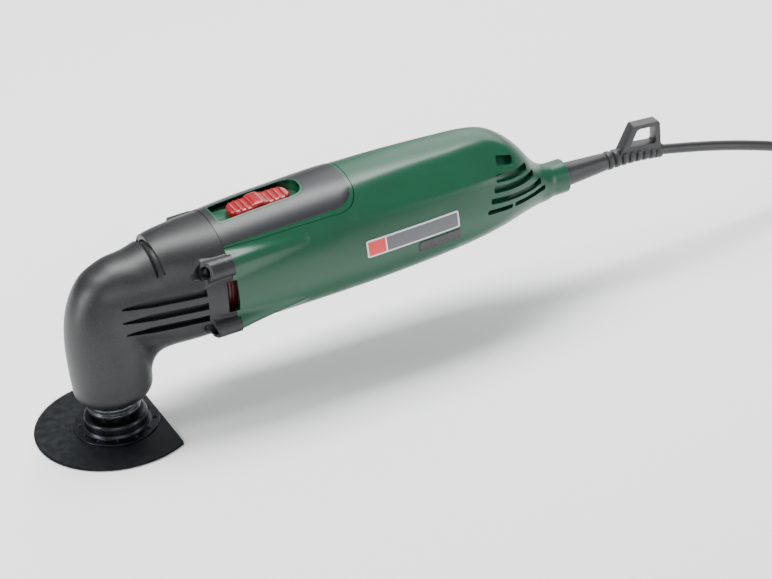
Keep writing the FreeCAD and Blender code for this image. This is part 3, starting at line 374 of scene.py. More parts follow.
def smooth_rows(table, at):
    """Each column of a station table at the places asked for, by a monotone cubic curve."""
    places = table[:, 0]
    at = np.clip(at, places[0], places[-1])
    row = np.clip(np.searchsorted(places, at) - 1, 0, len(places) - 2)
    span = np.diff(places)
    t = (at - places[row]) / span[row]
    columns = []
    for values in table[:, 1:].T:
        rise = np.diff(values) / span
        slope = np.concatenate([rise[:1], (rise[1:] + rise[:-1]) / 2, rise[-1:]])
        flat = np.concatenate([[False], rise[1:] * rise[:-1] <= 0, [False]])
        slope[flat] = 0
        h = span[row]
        columns.append((2 * t ** 3 - 3 * t ** 2 + 1) * values[row]
                       + (t ** 3 - 2 * t ** 2 + t) * h * slope[row]
                       + (3 * t ** 2 - 2 * t ** 3) * values[row + 1]
                       + (t ** 3 - t ** 2) * h * slope[row + 1])
    return columns


def ease(low, high, value):
    t = np.clip((value - low) / (high - low), 0, 1)
    return t * t * (3 - 2 * t)


def join(a, b, radius):
    """Union of two fields with a fillet."""
    h = np.clip(0.5 + 0.5 * (b - a) / radius, 0, 1)
    return b + (a - b) * h - radius * h * (1 - h)


def trim(a, b, radius):
    """Intersection of two fields with a rounded edge."""
    return -join(-a, -b, radius)


def rounded_tube(across, up, half, top, low, fullness):
    """Field of a section with a half width, a top and a bottom."""
    middle, rise = (top + low) / 2, (top - low) / 2
    reach = (np.abs(across / half) ** fullness
             + np.abs((up - middle) / rise) ** fullness) ** (1 / fullness)
    return (reach - 1) * np.minimum(half, rise)


def cone(p, start, end, r0, r1):
    """Field of a cone between two points, with its radii."""
    start, end = np.array(start, float), np.array(end, float)
    way = end - start
    along = np.clip(((p - start) @ way) / (way @ way), 0, 1)
    return np.linalg.norm(p - (start + along[:, None] * way), axis=1) - (r0 + (r1 - r0) * along)


def body_field(p):
    """The motor housing: tube, shoulder chamfers, screw fairings and cord collar."""
    x, y, z = p[:, 0], np.abs(p[:, 1]), p[:, 2]
    half, top, low = smooth_rows(BODY, x)
    field = rounded_tube(y, z, half, top, low, 2.15)
    shoulder = np.interp(x, (120, 138, 169, 196, 215, 227, 238), (92, 87, 85.9, 84.4, 82.9, 81, 79))
    field = trim(field, y * 0.69 + z * 0.724 - shoulder, 1.2)
    flank = np.interp(x, (100, 130, 170, 205, 225), (36, 32.2, 31.4, 29.3, 27))
    field = trim(field, y * 0.985 + (z - 80) * 0.17 - flank, 1.5)
    mirrored = np.column_stack([x, y, z])
    for z0, tail in ((BOSS_HIGH, (106, 26.8, 90.3)), (BOSS_LOW, (101, 26.4, 56.4))):
        fairing = cone(mirrored, (58, BOSS_Y, z0), tail, 5.9, 0.8)
        field = join(field, fairing, 4.0)
    collar = np.hypot(y, z - COLLAR_Z) - 9.4
    collar = trim(collar, 246 - x, 1)
    field = join(trim(field, x - 260, 5.0), collar, 3.0)
    return trim(field, x - 271, 0.8)


def head_field(p):
    """The gear head: barrel, neck and screw bosses, with the step over its top."""
    x, y, z = p[:, 0], np.abs(p[:, 1]), p[:, 2]
    half, top, low = smooth_rows(BARREL, x)
    step = 1.3 * (1 - ease(28.2, 30.2, x)) * ease(6, 22, x)
    crown = ease(84, 99, z)
    barrel = rounded_tube(y, z, half, top, low, 2.15) + step * crown
    barrel = trim(barrel, -11 - x, 4)
    front, rear, wide = smooth_rows(NECK, z)
    middle, reach = (front + rear) / 2, (rear - front) / 2
    neck = (np.hypot((x - middle) / reach, y / wide) - 1) * np.minimum(reach, wide)
    neck = trim(trim(neck, 19.5 - z, 1.6), z - 92, 5)
    throat = ease(12, 24, x) * (1 - ease(50, 64, z))
    blend = bpy.context.scene.multitool_shells.blend
    field = join(barrel, neck, 2.5 + blend * throat)
    for z0 in (BOSS_LOW, BOSS_HIGH):
        boss = trim(np.hypot(y - BOSS_Y, z - z0) - BOSS_RADIUS, 51 - x, 0.7)
        field = join(field, boss, 1.2 + 2.0 * (1 - ease(50, 58, x)))
    return trim(field, x - 68.0, 1.0)


def gradient(field, p, step=0.05):
    """The direction in which a field grows, at each point."""
    slopes = [(field(p + offset) - field(p - offset)) / (2 * step)
              for offset in np.eye(3) * step]
    return np.stack(slopes, axis=1)


def settle(field, p, level=0.0, rounds=5, most=0.6):
    """Move points on to a level of a field."""
    for _ in range(rounds):
        slope = gradient(field, p)
        size = (slope ** 2).sum(1)
        move = slope * ((field(p) - level) / np.maximum(size, 0.05))[:, None]
        length = np.linalg.norm(move, axis=1)
        p = p - move * np.minimum(1, most / np.maximum(length, 1e-9))[:, None]
    return p


# ------------------------------------------------------------------ mesh helpers
def mesh_object(name, points, faces, edges=()):
    """A new object from points in millimetres."""
    mesh = bpy.data.meshes.new(name)
    mesh.from_pydata([tuple(p) for p in np.asarray(points) * MM], edges, faces)
    mesh.validate()
    made = bpy.data.objects.new(name, mesh)
    bpy.context.scene.collection.objects.link(made)
    return made


def drop(*things):
    for thing in things:
        data = thing.data
        bpy.data.objects.remove(thing)
        if isinstance(data, bpy.types.Mesh) and not data.users:
            bpy.data.meshes.remove(data)


def apply_modifiers(thing):
    """Turn an object's live modifiers into its plain mesh."""
    ready = thing.evaluated_get(bpy.context.evaluated_depsgraph_get())
    mesh = bpy.data.meshes.new_from_object(ready)
    thing.modifiers.clear()
    old, thing.data = thing.data, mesh
    if isinstance(old, bpy.types.Mesh) and not old.users:
        bpy.data.meshes.remove(old)
    return thing


def modify(thing, kind, **settings):
    made = thing.modifiers.new(kind.title(), kind)
    for name, value in settings.items():
        setattr(made, name, value)
    return made


def carve(thing, tools, operation="DIFFERENCE"):
    """Cut, fuse or intersect an object with tools, which are used up."""
    for tool in tools:
        modify(thing, "BOOLEAN", object=tool, operation=operation, solver="MANIFOLD")
        apply_modifiers(thing)
    drop(*tools)
    return thing


def finish_piece(thing, body, slot, *nodes, angle=32):
    """Smooth an object between its sharp edges, give it its finish and its place in the tool."""
    mesh = thing.data
    if isinstance(mesh, bpy.types.Mesh):
        mesh.shade_smooth()
        mesh.set_sharp_from_angle(angle=math.radians(angle))
        mesh.materials.clear()
        mesh.materials.append(FINISHES[slot])
    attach(thing, body)
    if nodes:
        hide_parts(*nodes)
    return thing


def follow_field(thing, field, level=0.0, reach=0.35, limit=28):
    """Shade the faces that lie on a field with the field's own direction, so that cuts in a
    smooth shell leave no marks round them."""
    mesh = thing.data
    points = np.empty(len(mesh.vertices) * 3)
    mesh.vertices.foreach_get("co", points)
    points = points.reshape(-1, 3) / MM
    slope = gradient(field, points)
    slope /= np.maximum(np.linalg.norm(slope, axis=1), 1e-9)[:, None]
    near = np.abs(field(points) - level) < reach
    normals = np.empty(len(mesh.loops) * 3)
    mesh.corner_normals.foreach_get("vector", normals)
    normals = normals.reshape(-1, 3)
    corners = np.empty(len(mesh.loops), int)
    mesh.loops.foreach_get("vertex_index", corners)
    flat = np.empty(len(mesh.polygons) * 3)
    mesh.polygons.foreach_get("normal", flat)
    count = np.empty(len(mesh.polygons), int)
    mesh.polygons.foreach_get("loop_total", count)
    face_normal = np.repeat(flat.reshape(-1, 3), count, axis=0)
    agree = (face_normal * slope[corners]).sum(1) > math.cos(math.radians(limit))
    use = near[corners] & agree
    normals[use] = slope[corners][use]
    mesh.normals_split_custom_set([tuple(n) for n in normals])


def tube_mesh(name, xs, centre, field, level=0.0, around=168):
    """A closed tube of rings along X, each point moved out or in from the centre line on to a
    level of a field."""
    turn = 2 * math.pi * (np.arange(around) + 0.5) / around
    ray = np.column_stack([np.zeros(around), np.cos(turn), np.sin(turn)])
    xs = np.asarray(xs, float)
    base = np.column_stack([xs, np.zeros(len(xs)), centre(xs)])
    start = np.repeat(base, around, axis=0)
    rays = np.tile(ray, (len(xs), 1))
    near, far = np.full(len(start), 0.5), np.full(len(start), 60.0)
    for _ in range(26):
        middle = (near + far) / 2
        outside = field(start + rays * middle[:, None]) > level
        far = np.where(outside, middle, far)
        near = np.where(outside, near, middle)
    points = start + rays * ((near + far) / 2)[:, None]
    faces = []
    for i in range(len(xs) - 1):
        for j in range(around):
            k = (j + 1) % around
            faces.append((i * around + j, i * around + k, (i + 1) * around + k,
                          (i + 1) * around + j))
    ends = [base[0], base[-1]]
    points = np.vstack([points, ends])
    first, last = len(points) - 2, len(points) - 1
    top_row = (len(xs) - 1) * around
    for j in range(around):
        k = (j + 1) % around
        faces.append((first, k, j))
        faces.append((last, top_row + j, top_row + k))
    return mesh_object(name, points, faces)


def prism(name, outline, along, start, end):
    """A closed prism: an outline of pairs in millimetres, pushed along one axis."""
    area = sum(a[0] * b[1] - b[0] * a[1] for a, b in zip(outline, outline[1:] + outline[:1]))
    if area < 0:
        outline = outline[::-1]
    places = {"X": lambda a, b, t: (t, a, b), "Y": lambda a, b, t: (a, t, b),
              "Z": lambda a, b, t: (a, b, t)}[along]
    points = [places(a, b, t) for t in (start, end) for a, b in outline]
    n = len(outline)
    faces = [tuple(range(n))[::-1], tuple(range(n, 2 * n))]
    faces += [(i, (i + 1) % n, n + (i + 1) % n, n + i) for i in range(n)]
    if along == "Y":
        faces = [f[::-1] for f in faces]
    return mesh_object(name, points, faces)


def rounded_outline(corners, radius, steps=6):
    """An outline with its corners rounded; radius may be one number or one for each corner."""
    n = len(corners)
    radii = radius if hasattr(radius, "__len__") else [radius] * n
    made = []
    for i, (corner, r) in enumerate(zip(corners, radii)):
        corner = np.array(corner, float)
        a = np.array(corners[i - 1], float) - corner
        b = np.array(corners[(i + 1) % n], float) - corner
        a /= np.linalg.norm(a)
        b /= np.linalg.norm(b)
        half = math.acos(max(-1, min(1, float(a @ b)))) / 2
        back = r / math.tan(half)
        start, end = corner + a * back, corner + b * back
        for k in range(steps + 1):
            t = k / steps
            bend = (1 - t) ** 2 * start + 2 * t * (1 - t) * corner + t * t * end
            made.append(tuple(bend))
    return made


def rod(name, start, end, radius, tip=None, sides=32):
    """A closed cylinder or cone between two points in millimetres."""
    start, end = Vector(start), Vector(end)
    way = (end - start).normalized()
    side = way.orthogonal().normalized()
    other = way.cross(side)
    points = []
    for at, r in ((start, radius), (end, radius if tip is None else tip)):
        points += [tuple(at + side * (r * math.cos(2 * math.pi * i / sides))
                         + other * (r * math.sin(2 * math.pi * i / sides)))
                   for i in range(sides)]
    faces = [tuple(range(sides))[::-1], tuple(range(sides, 2 * sides))]
    faces += [(i, (i + 1) % sides, sides + (i + 1) % sides, sides + i) for i in range(sides)]
    return mesh_object(name, points, faces)


def lathe(name, profile, sides=96, along="Z", at=(0, 0, 0)):
    """A closed ring or disc turned round an axis from a profile of (radius, height) pairs."""
    rows = []
    for r, h in profile:
        ring = []
        for i in range(sides):
            turn = 2 * math.pi * i / sides
            a, b = r * math.cos(turn), r * math.sin(turn)
            ring.append({"Z": (a, b, h), "X": (h, a, b)}[along])
        rows.append(np.array(ring) + at)
    n = len(rows)
    faces = [(i * sides + j, i * sides + (j + 1) % sides,
              ((i + 1) % n) * sides + (j + 1) % sides, ((i + 1) % n) * sides + j)
             for i in range(n) for j in range(sides)]
    made = mesh_object(name, np.vstack(rows), faces)
    tidy_mesh(made)
    return made


def tidy_mesh(thing, distance=0.002):
    """Merge doubles and turn the faces of a closed mesh outwards."""
    work = bmesh.new()
    work.from_mesh(thing.data)
    bmesh.ops.remove_doubles(work, verts=work.verts, dist=distance * MM)
    bmesh.ops.recalc_face_normals(work, faces=work.faces)
    work.to_mesh(thing.data)
    work.free()
    thing.data.update()
    return thing


def rounded_profile(corners, steps=5):
    """A lathe profile from (radius, height, rounding) corners."""
    return rounded_outline([c[:2] for c in corners], [max(c[2], 0.01) for c in corners], steps)


def merge(name, things):
    """Join objects into one mesh."""
    work = bmesh.new()
    for thing in things:
        work.from_mesh(thing.data)
    mesh = bpy.data.meshes.new(name)
    work.to_mesh(mesh)
    work.free()
    made = bpy.data.objects.new(name, mesh)
    bpy.context.scene.collection.objects.link(made)
    drop(*things)
    return made


def through_nodes(name, points, build, edges=(), **inputs):
    """Run a Geometry Nodes tree on points and keep the result as a plain mesh. build gets the
    tree and its group input and returns the geometry socket to hand out."""
    tree = bpy.data.node_groups.new(name + "_nodes", "GeometryNodeTree")
    tree.interface.new_socket("Geometry", in_out="INPUT", socket_type="NodeSocketGeometry")
    tree.interface.new_socket("Geometry", in_out="OUTPUT", socket_type="NodeSocketGeometry")
    for label, value in inputs.items():
        kind = {int: "NodeSocketInt", float: "NodeSocketFloat",
                bpy.types.Object: "NodeSocketObject",
                bpy.types.Material: "NodeSocketMaterial"}[type(value)]
        tree.interface.new_socket(label, in_out="INPUT", socket_type=kind)
    entry = tree.nodes.new("NodeGroupInput")
    leave = tree.nodes.new("NodeGroupOutput")
    whole = add(tree, "GeometryNodeRealizeInstances", Geometry=build(tree, entry.outputs))
    dressed = add(tree, "GeometryNodeSetMaterial", Geometry=whole.outputs["Geometry"],
                  Material=entry.outputs["material"])
    tree.links.new(dressed.outputs["Geometry"], leave.inputs["Geometry"])
    made = mesh_object(name, points, [], edges)
    made.modifiers.new("Pattern", "NODES").node_group = tree
    for item in tree.interface.items_tree:
        if item.in_out == "INPUT" and item.name in inputs:
            made.modifiers["Pattern"][item.identifier] = inputs[item.name]
    return apply_modifiers(made)


# ------------------------------------------------------------------ the stage and the cord
# name, place and size in metres, power in watts
STUDIO_LIGHTS = (
    ("top_softbox", (0.15, 0.35, 1.25), (1.3, 0.5), 36),
    ("front_softbox", (-0.35, -1.2, 0.75), (0.9, 0.6), 8),
    ("nose_strip", (-1.1, 0.1, 0.55), (0.25, 0.9), 13),
    ("rear_fill", (0.9, 0.8, 0.7), (0.9, 0.9), 7),
    ("right_strip", (0.95, -0.8, 0.3), (0.2, 0.8), 5))


class MULTITOOL_OT_stage(bpy.types.Operator):
    """Pale floor, soft studio lights and the camera"""
    bl_idname = "multitool.stage"
    bl_label = "Stage"

    def execute(self, context):
        floor = mesh_object("studio_floor", [(-9000, -9000, -0.3), (9000, -9000, -0.3),
                                             (9000, 9000, -0.3), (-9000, 9000, -0.3)],
                            [(0, 1, 2, 3)])
        floor.data.materials.append(pale_floor("matt_studio_sheet"))
        scene = context.scene
        world = bpy.data.worlds.new("studio_air")
        world.use_nodes = True
        world.node_tree.nodes.clear()
        sky = add(world.node_tree, "ShaderNodeBackground", Color=(0.95, 0.97, 1.0, 1.0),
                  Strength=0.3)
        add(world.node_tree, "ShaderNodeOutputWorld", Surface=sky.outputs[0])
        scene.world = world
        middle = Vector((0.13, 0, 0.06))
        for name, place, size, power in STUDIO_LIGHTS:
            light = bpy.data.lights.new(name, "AREA")
            light.shape = "RECTANGLE"
            light.size, light.size_y = size
            light.energy = power
            lamp = bpy.data.objects.new(name, light)
            lamp.location = place
            lamp.visible_camera = False
            lamp.rotation_euler = (middle - Vector(place)).to_track_quat("-Z", "Y").to_euler()
            scene.collection.objects.link(lamp)
        place_camera(scene, scene.multitool_camera)
        return {"FINISHED"}


def place_camera(scene, settings):
    a, e, roll = settings.azimuth, settings.elevation, settings.roll
    back = Vector((math.sin(a) * math.cos(e), -math.cos(a) * math.cos(e), math.sin(e)))
    right = Vector((math.cos(a), math.sin(a), 0))
    up = back.cross(right)
    x = right * math.cos(roll) + up * math.sin(roll)
    y = up * math.cos(roll) - right * math.sin(roll)
    lens = bpy.data.cameras.new("studio_camera")
    lens.lens, lens.sensor_width, lens.clip_start = settings.lens, 36.0, 0.05
    camera = bpy.data.objects.new("studio_camera", lens)
    spot = x * settings.offset[0] + y * settings.offset[1] + back * settings.offset[2]
    turn = Matrix((x, y, back)).transposed().to_4x4()
    camera.matrix_world = Matrix.Translation(spot) @ turn
    scene.collection.objects.link(camera)
    scene.camera = camera


RELIEF_STRAIGHT, RELIEF_BEND, RELIEF_TURN = 300.0, 141.0, math.radians(13)


def relief_point(s):
    """A point on the strain relief's middle line, s mm past its straight part, and the way on."""
    angle = max(0.0, s) / RELIEF_BEND
    along = RELIEF_BEND * math.sin(angle) if s > 0 else s
    return (Vector((RELIEF_STRAIGHT + along, 0, COLLAR_Z - RELIEF_BEND * (1 - math.cos(angle)))),
            Vector((math.cos(angle), 0, -math.sin(angle))))


CORD_ROUTE = [(352, 0, 53.7), (378, 0, 46.4), (405, 0.5, 36.9), (430, 2.5, 25.2),
              (449, 6.5, 12.8), (469, 14, 2.9), (490.5, 20.4, 2.9)]
CORD_LEAD = (507.9, 25.0, 2.9)          # where the cord joins the coil's outer turn
COIL_MIDDLE = (520.0, -20.0)
COIL_RADII = [46.6, 40.8, 35.0, 29.2, 23.4]
PLUG_REAR = (476.0, -67.6, 8.3)
POINTS_PER_TURN = 24


def coil_points():
    """The put-away length: clockwise turns, inwards on the floor and outwards on top of them."""
    start, turns = math.radians(90 + 14.5), 10.54
    steps = int(turns * POINTS_PER_TURN)
    low, high = 2.9, 8.5
    for i in range(steps + 1):
        t = i / steps * turns
        layer = t < turns / 2
        depth = t if layer else turns - t
        radius = np.interp(depth - 0.5, range(len(COIL_RADII)), COIL_RADII)
        height = low + (high - low) * float(ease(turns / 2 - 0.2, turns / 2 + 0.2, t))
        angle = start - 2 * math.pi * t
        yield (COIL_MIDDLE[0] + radius * math.cos(angle),
               COIL_MIDDLE[1] + radius * math.sin(angle), height)


class MULTITOOL_OT_cord(bpy.types.Operator):
    """The mains cord: one smooth curve to its put-away coil and its plug"""
    bl_idname = "multitool.cord"
    bl_label = "Mains cord"

    def execute(self, context):
        settings = context.scene.multitool_cord
        leave, _ = relief_point(RELIEF_BEND * RELIEF_TURN)
        route = [tuple(leave)] + CORD_ROUTE + [CORD_LEAD] + list(coil_points())
        route += [(504, -67.6, 8.4), (490, -67.6, 8.3), PLUG_REAR]
        curve = bpy.data.curves.new("mains_cord", "CURVE")
        curve.dimensions = "3D"
        curve.bevel_depth = settings.diameter / 2
        curve.bevel_resolution = 5
        curve.resolution_u = 6
        curve.use_fill_caps = True
        line = curve.splines.new("NURBS")
        line.points.add(len(route) - 1)
        for point, place in zip(line.points, route):
            point.co = (*[v * MM for v in place], 1.0)
        line.order_u = 3
        line.use_endpoint_u = True
        cord = bpy.data.objects.new("mains_cord", curve)
        context.scene.collection.objects.link(cord)
        curve.materials.append(FINISHES["cord_rubber"])
        finish_piece(cord, "housing", "cord_rubber", "power_cord", "cord_coil", "cord_tail")
        return {"FINISHED"}


class MULTITOOL_OT_finishes(bpy.types.Operator):
    """Make every finish of the tool"""
    bl_idname = "multitool.finishes"
    bl_label = "Finishes"

    def execute(self, context):
        FINISHES.update(make_materials(context.scene.multitool_colours))
        return {"FINISHED"}


class MULTITOOL_OT_cad_pieces(bpy.types.Operator):
    """Give the machined pieces whose CAD shape stays their finish"""
    bl_idname = "multitool.cad_pieces"
    bl_label = "Machined pieces"

    def execute(self, context):
        slots = {row["node"]: row["material_slot"] for row in frame["record"]["subparts"]}
        for node, thing in frame["nodes"].items():
            thing.data.materials.clear()
            thing.data.materials.append(FINISHES[slots[node]])
        return {"FINISHED"}


# ------------------------------------------------------------------ gear head
HEAD_VENTS = (62.9, 70.7, 78.5)
WINDOW = [(60, 63.2), (66, 63.2), (66, 81.6), (60, 81.6)]


def relax(thing, field, level, rounds):
    """Even out a mesh over a field: average each point with its neighbours, then settle it."""
    mesh = thing.data
    points = np.empty(len(mesh.vertices) * 3)
    mesh.vertices.foreach_get("co", points)
    points = points.reshape(-1, 3) / MM
    edges = np.empty(len(mesh.edges) * 2, int)
    mesh.edges.foreach_get("vertices", edges)
    a, b = edges.reshape(-1, 2).T
    count = np.bincount(a, minlength=len(points)) + np.bincount(b, minlength=len(points))
    points = settle(field, points, level, 6)
    for _ in range(rounds):
        total = np.zeros_like(points)
        np.add.at(total, a, points[b])
        np.add.at(total, b, points[a])
        points = 0.4 * points + 0.6 * total / count[:, None]
        points = settle(field, points, level, 2)
    mesh.vertices.foreach_set("co", (points * MM).astype(np.float32).ravel())
    mesh.update()
    return thing


def ellipse_column(name, rows, sides=64):
    """A closed column of ellipses from (z, front, rear, half width) rows."""
    points, faces = [], []
    for z, front, rear, half in rows:
        for i in range(sides):
            turn = 2 * math.pi * i / sides
            points.append(((front + rear) / 2 + (rear - front) / 2 * math.cos(turn),
                           half * math.sin(turn), z))
    for i in range(len(rows) - 1):
        for j in range(sides):
            k = (j + 1) % sides
            faces.append((i * sides + j, i * sides + k, (i + 1) * sides + k, (i + 1) * sides + j))
    faces.append(tuple(range(sides))[::-1])
    faces.append(tuple(range((len(rows) - 1) * sides, len(rows) * sides)))
    return mesh_object(name, points, faces)


def head_solid(name, field, voxel, level=0.0):
    """The head's outer form as one even mesh: rough solids, remeshed, then set on the field."""
    def barrel_only(p):
        half, top, low = smooth_rows(BARREL, p[:, 0])
        return rounded_tube(p[:, 1], p[:, 2], half, top, low, 2.15)
    rough = [tube_mesh("barrel", np.linspace(-10, 69, 40),
                       lambda x: np.interp(x, BARREL[:, 0], (BARREL[:, 2] + BARREL[:, 3]) / 2),
                       barrel_only, around=72),
             ellipse_column("neck", [tuple(row) for row in NECK[:-1]]),
             prism("throat", [(10, 32), (21, 32), (24, 38), (31, 44), (31, 60), (10, 60)], "Y",
                   -14, 14)]
    rough += [rod("boss", (51, side * BOSS_Y, z), (69, side * BOSS_Y, z), BOSS_RADIUS)
              for side in (-1, 1) for z in (BOSS_LOW, BOSS_HIGH)]
    solid = merge(name, rough)
    modify(solid, "REMESH", mode="VOXEL", voxel_size=voxel * MM, use_smooth_shade=True)
    apply_modifiers(solid)
    return relax(solid, field, level, 6)


def hull(name, points):
    """The convex hull of points in millimetres."""
    made = mesh_object(name, points, [])
    work = bmesh.new()
    work.from_mesh(made.data)
    found = bmesh.ops.convex_hull(work, input=work.verts)
    spare = list({v for v in found["geom_interior"] + found["geom_unused"]
                  if isinstance(v, bmesh.types.BMVert)})
    bmesh.ops.delete(work, geom=spare, context="VERTS")
    bmesh.ops.recalc_face_normals(work, faces=work.faces)
    work.to_mesh(made.data)
    work.free()
    return made


def sweep(name, path, radii, sides=16):
    """A closed tube along points in millimetres, with its radius at each."""
    points, faces = [], []
    path = [Vector(p) for p in path]
    for i, (at, r) in enumerate(zip(path, radii)):
        way = (path[min(i + 1, len(path) - 1)] - path[max(i - 1, 0)]).normalized()
        side = way.cross(Vector((0.0, 0.0, 1.0)))
        side = side.normalized() if side.length > 0.01 else Vector((0.0, 1.0, 0.0))
        other = side.cross(way)
        points += [tuple(at + side * (r * math.cos(2 * math.pi * j / sides))
                         + other * (r * math.sin(2 * math.pi * j / sides)))
                   for j in range(sides)]
    for i in range(len(path) - 1):
        for j in range(sides):
            k = (j + 1) % sides
            faces.append((i * sides + j, i * sides + k, (i + 1) * sides + k, (i + 1) * sides + j))
    faces.append(tuple(range(sides))[::-1])
    faces.append(tuple(range((len(path) - 1) * sides, len(path) * sides)))
    return tidy_mesh(mesh_object(name, points, faces))


def window_tool(name):
    outline = rounded_outline(WINDOW, 0.8, 4)
    return merge(name, [prism("pane", outline, "Y", -45, -20), prism("pane", outline, "Y", 20, 45)])


def boss_tools(name, start, end, radius, tip=None):
    return merge(name, [rod("hole", (start, side * BOSS_Y, z), (end, side * BOSS_Y, z), radius, tip)
                        for side in (-1, 1) for z in (BOSS_LOW, BOSS_HIGH)])


def boss_scoop(side, z):
    """The hollow that clears the way to a screw, leaning outwards ahead of its boss."""
    up = 0.54 if z == BOSS_HIGH else -0.54
    near, far = [(x, side * (BOSS_Y + 0.84 * d), z + up * d) for x, d in ((51.2, 1.8), (37, 10.5))]
    return rod("scoop", far, near, 5.8)


def head_vent(side, level):
    """One tapered air slot: a shallow point at the neck, square and deep at the joint."""
    tall = 2.05
    outline = [(1.0, 22.2, 0.15), (1.0, 22.2, -0.15), (14, 17, 1.0), (14, 17, -1.0),
               (21, 26, tall), (21, 26, -tall), (21, 12, tall), (21, 12, -tall),
               (49.7, 36, tall), (49.7, 36, -tall), (49.7, 12, tall), (49.7, 12, -tall)]
    return hull("vent", [(x, side * y, level + z) for x, y, z in outline])


class MULTITOOL_OT_gear_head(bpy.types.Operator):
    """The gear head's casing: barrel and neck in one smooth shell, air slots and screw bosses"""
    bl_idname = "multitool.gear_head"
    bl_label = "Gear head"

    def execute(self, context):
        shells = context.scene.multitool_shells
        head = head_solid("gear_head_shell", head_field, 0.75)
        hollow = head_solid("hollow", head_field, 1.6, -shells.wall)
        carve(head, [hollow])
        beyond = prism("beyond", [(-60, 10), (60, 10), (60, 130), (-60, 130)], "X", JOINT_X, 90)
        carve(beyond, [boss_tools("bosses", 60, BOSS_END, BOSS_RADIUS + 0.02)])
        carve(head, [beyond])
        groove = [(29.4 + 0.02 * abs(y), y, 0.0) for y in np.linspace(-19.5, 19.5, 27)]
        ys = np.array([p[1] for p in groove])
        half, top, low = smooth_rows(BARREL, np.full(len(ys), 28.0))
        middle, rise = (top + low) / 2, (top - low) / 2
        heights = middle + rise * (1 - np.abs(ys / half) ** 2.15) ** (1 / 2.15)
        groove = [(x, y, z - 0.9) for (x, y, _), z in zip(groove, heights)]
        width = [2.0 + 0.5 * abs(y) / 20 for y in ys]
        carve(head, [sweep("groove", groove, width)])
        carve(head, [rod("spindle_hole", (0, 0, 12), (0, 0, 25), 13.2, sides=64)])
        carve(head, [merge("vents", [head_vent(side, z) for side in (-1, 1)
                                     for z in HEAD_VENTS])])
        carve(head, [window_tool("window")])
        pockets = [rod("pocket", (43, side * BOSS_Y * 1.05, z), (55, side * BOSS_Y, z), 3.5)
                   for side in (-1, 1) for z in (BOSS_LOW, BOSS_HIGH)]
        carve(head, [merge("pockets", pockets)])
        carve(head, [merge("scoops", [boss_scoop(side, z) for side in (-1, 1)
                                      for z in (BOSS_LOW, BOSS_HIGH)])])
        carve(head, [boss_tools("shanks", 50, 72, 2.0)])
        finish_piece(head, "housing", "charcoal_plastic", "gear_head_casing")
        follow_field(head, head_field)
        return {"FINISHED"}


# ------------------------------------------------------------------ motor housing
BODY_STEPS = np.concatenate([np.arange(62, 245, 1.25), np.arange(245, 262, 0.8),
                             np.arange(262, 270, 1.2), [270.2, 270.6, 270.85, 271.0]])
TAIL_VENTS = [((222.8, 95.0), (232.6, 92.2), 2.3), ((218.6, 88.6), (241.4, 84.6), 2.0),
              ((216.4, 83.4), (246.0, 78.6), 1.8), ((213.6, 77.8), (251.5, 70.9), 1.6),
              ((211.0, 72.0), (254.0, 65.9), 1.35)]
SIDE_COVER = [(158.0, 50.0), (247.0, 50.0), (247.0, 97.0), (158.0, 97.0)]
COVER_PLAN = [(50.0, 21.0), (66.0, 21.9), (84.0, 23.4), (103.0, 24.0), (122.0, 24.5),
              (134.0, 24.0), (140.0, 18.5), (141.3, 9.0)]
GRIP_PLAN = [(50.0, 19.8), (66.0, 20.9), (84.0, 22.0), (104.0, 22.7), (121.0, 22.9),
             (131.0, 22.4), (137.6, 18.0), (139.4, 8.0)]
RECESS = [(68.3, -9.0), (116.8, -9.0), (116.8, 9.0), (68.3, 9.0)]
REAR_SCREWS = ((226.0, 92.0), (222.0, 56.0))


def body_middle(x):
    middle = np.interp(x, BODY[:, 0], (BODY[:, 2] + BODY[:, 3]) / 2)
    return np.where(x > 256, np.interp(x, (256, 262), (64.0, COLLAR_Z)), middle)


def grown(outline, by):
    """An outline moved outwards by a distance; its points go round once."""
    points = np.array(outline, float)
    ahead = np.roll(points, -1, axis=0) - np.roll(points, 1, axis=0)
    ahead /= np.linalg.norm(ahead, axis=1)[:, None]
    out = np.column_stack([ahead[:, 1], -ahead[:, 0]])
    area = np.sum(points[:, 0] * np.roll(points[:, 1], -1)
                  - np.roll(points[:, 0], -1) * points[:, 1])
    return [tuple(p) for p in points + out * (by if area > 0 else -by)]


def smooth_plan(plan, by=0.0):
    """The whole closed outline of the top cover or the grip, from its right half."""
    half = np.array(plan + [(plan[-1][0] + 0.15, 0.0)])
    t = np.linspace(0, 1, 60)
    spread = np.concatenate([[0], np.cumsum(np.linalg.norm(np.diff(half, axis=0), axis=1))])
    table = np.column_stack([spread / spread[-1], half])
    x, y = smooth_rows(table, t)
    right = list(zip(x, -y))
    left = list(zip(x, y))[::-1][1:]
    return grown(right + left, by)


def recess_outline(by=0.0):
    x0, x1, y = RECESS[0][0] - by, RECESS[1][0] + by, RECESS[2][1] + by
    return rounded_outline([(x0, -y), (x1, -y), (x1, y), (x0, y)],
                           [2.2 + by, 8.2 + by, 8.2 + by, 2.2 + by], 10)


def skin(name, out=0.0, thick=None):
    """The housing's wall as a closed shell, open ahead of the joint."""
    wall = bpy.context.scene.multitool_shells.wall if thick is None else thick
    shell = tube_mesh(name, BODY_STEPS, body_middle, body_field, out)
    steps = np.concatenate([np.arange(60, 240, 3.0), np.arange(240, 254.5, 1.6)])
    inner = tube_mesh("inner", steps, body_middle, body_field, out - wall, 84)
    return carve(shell, [inner])


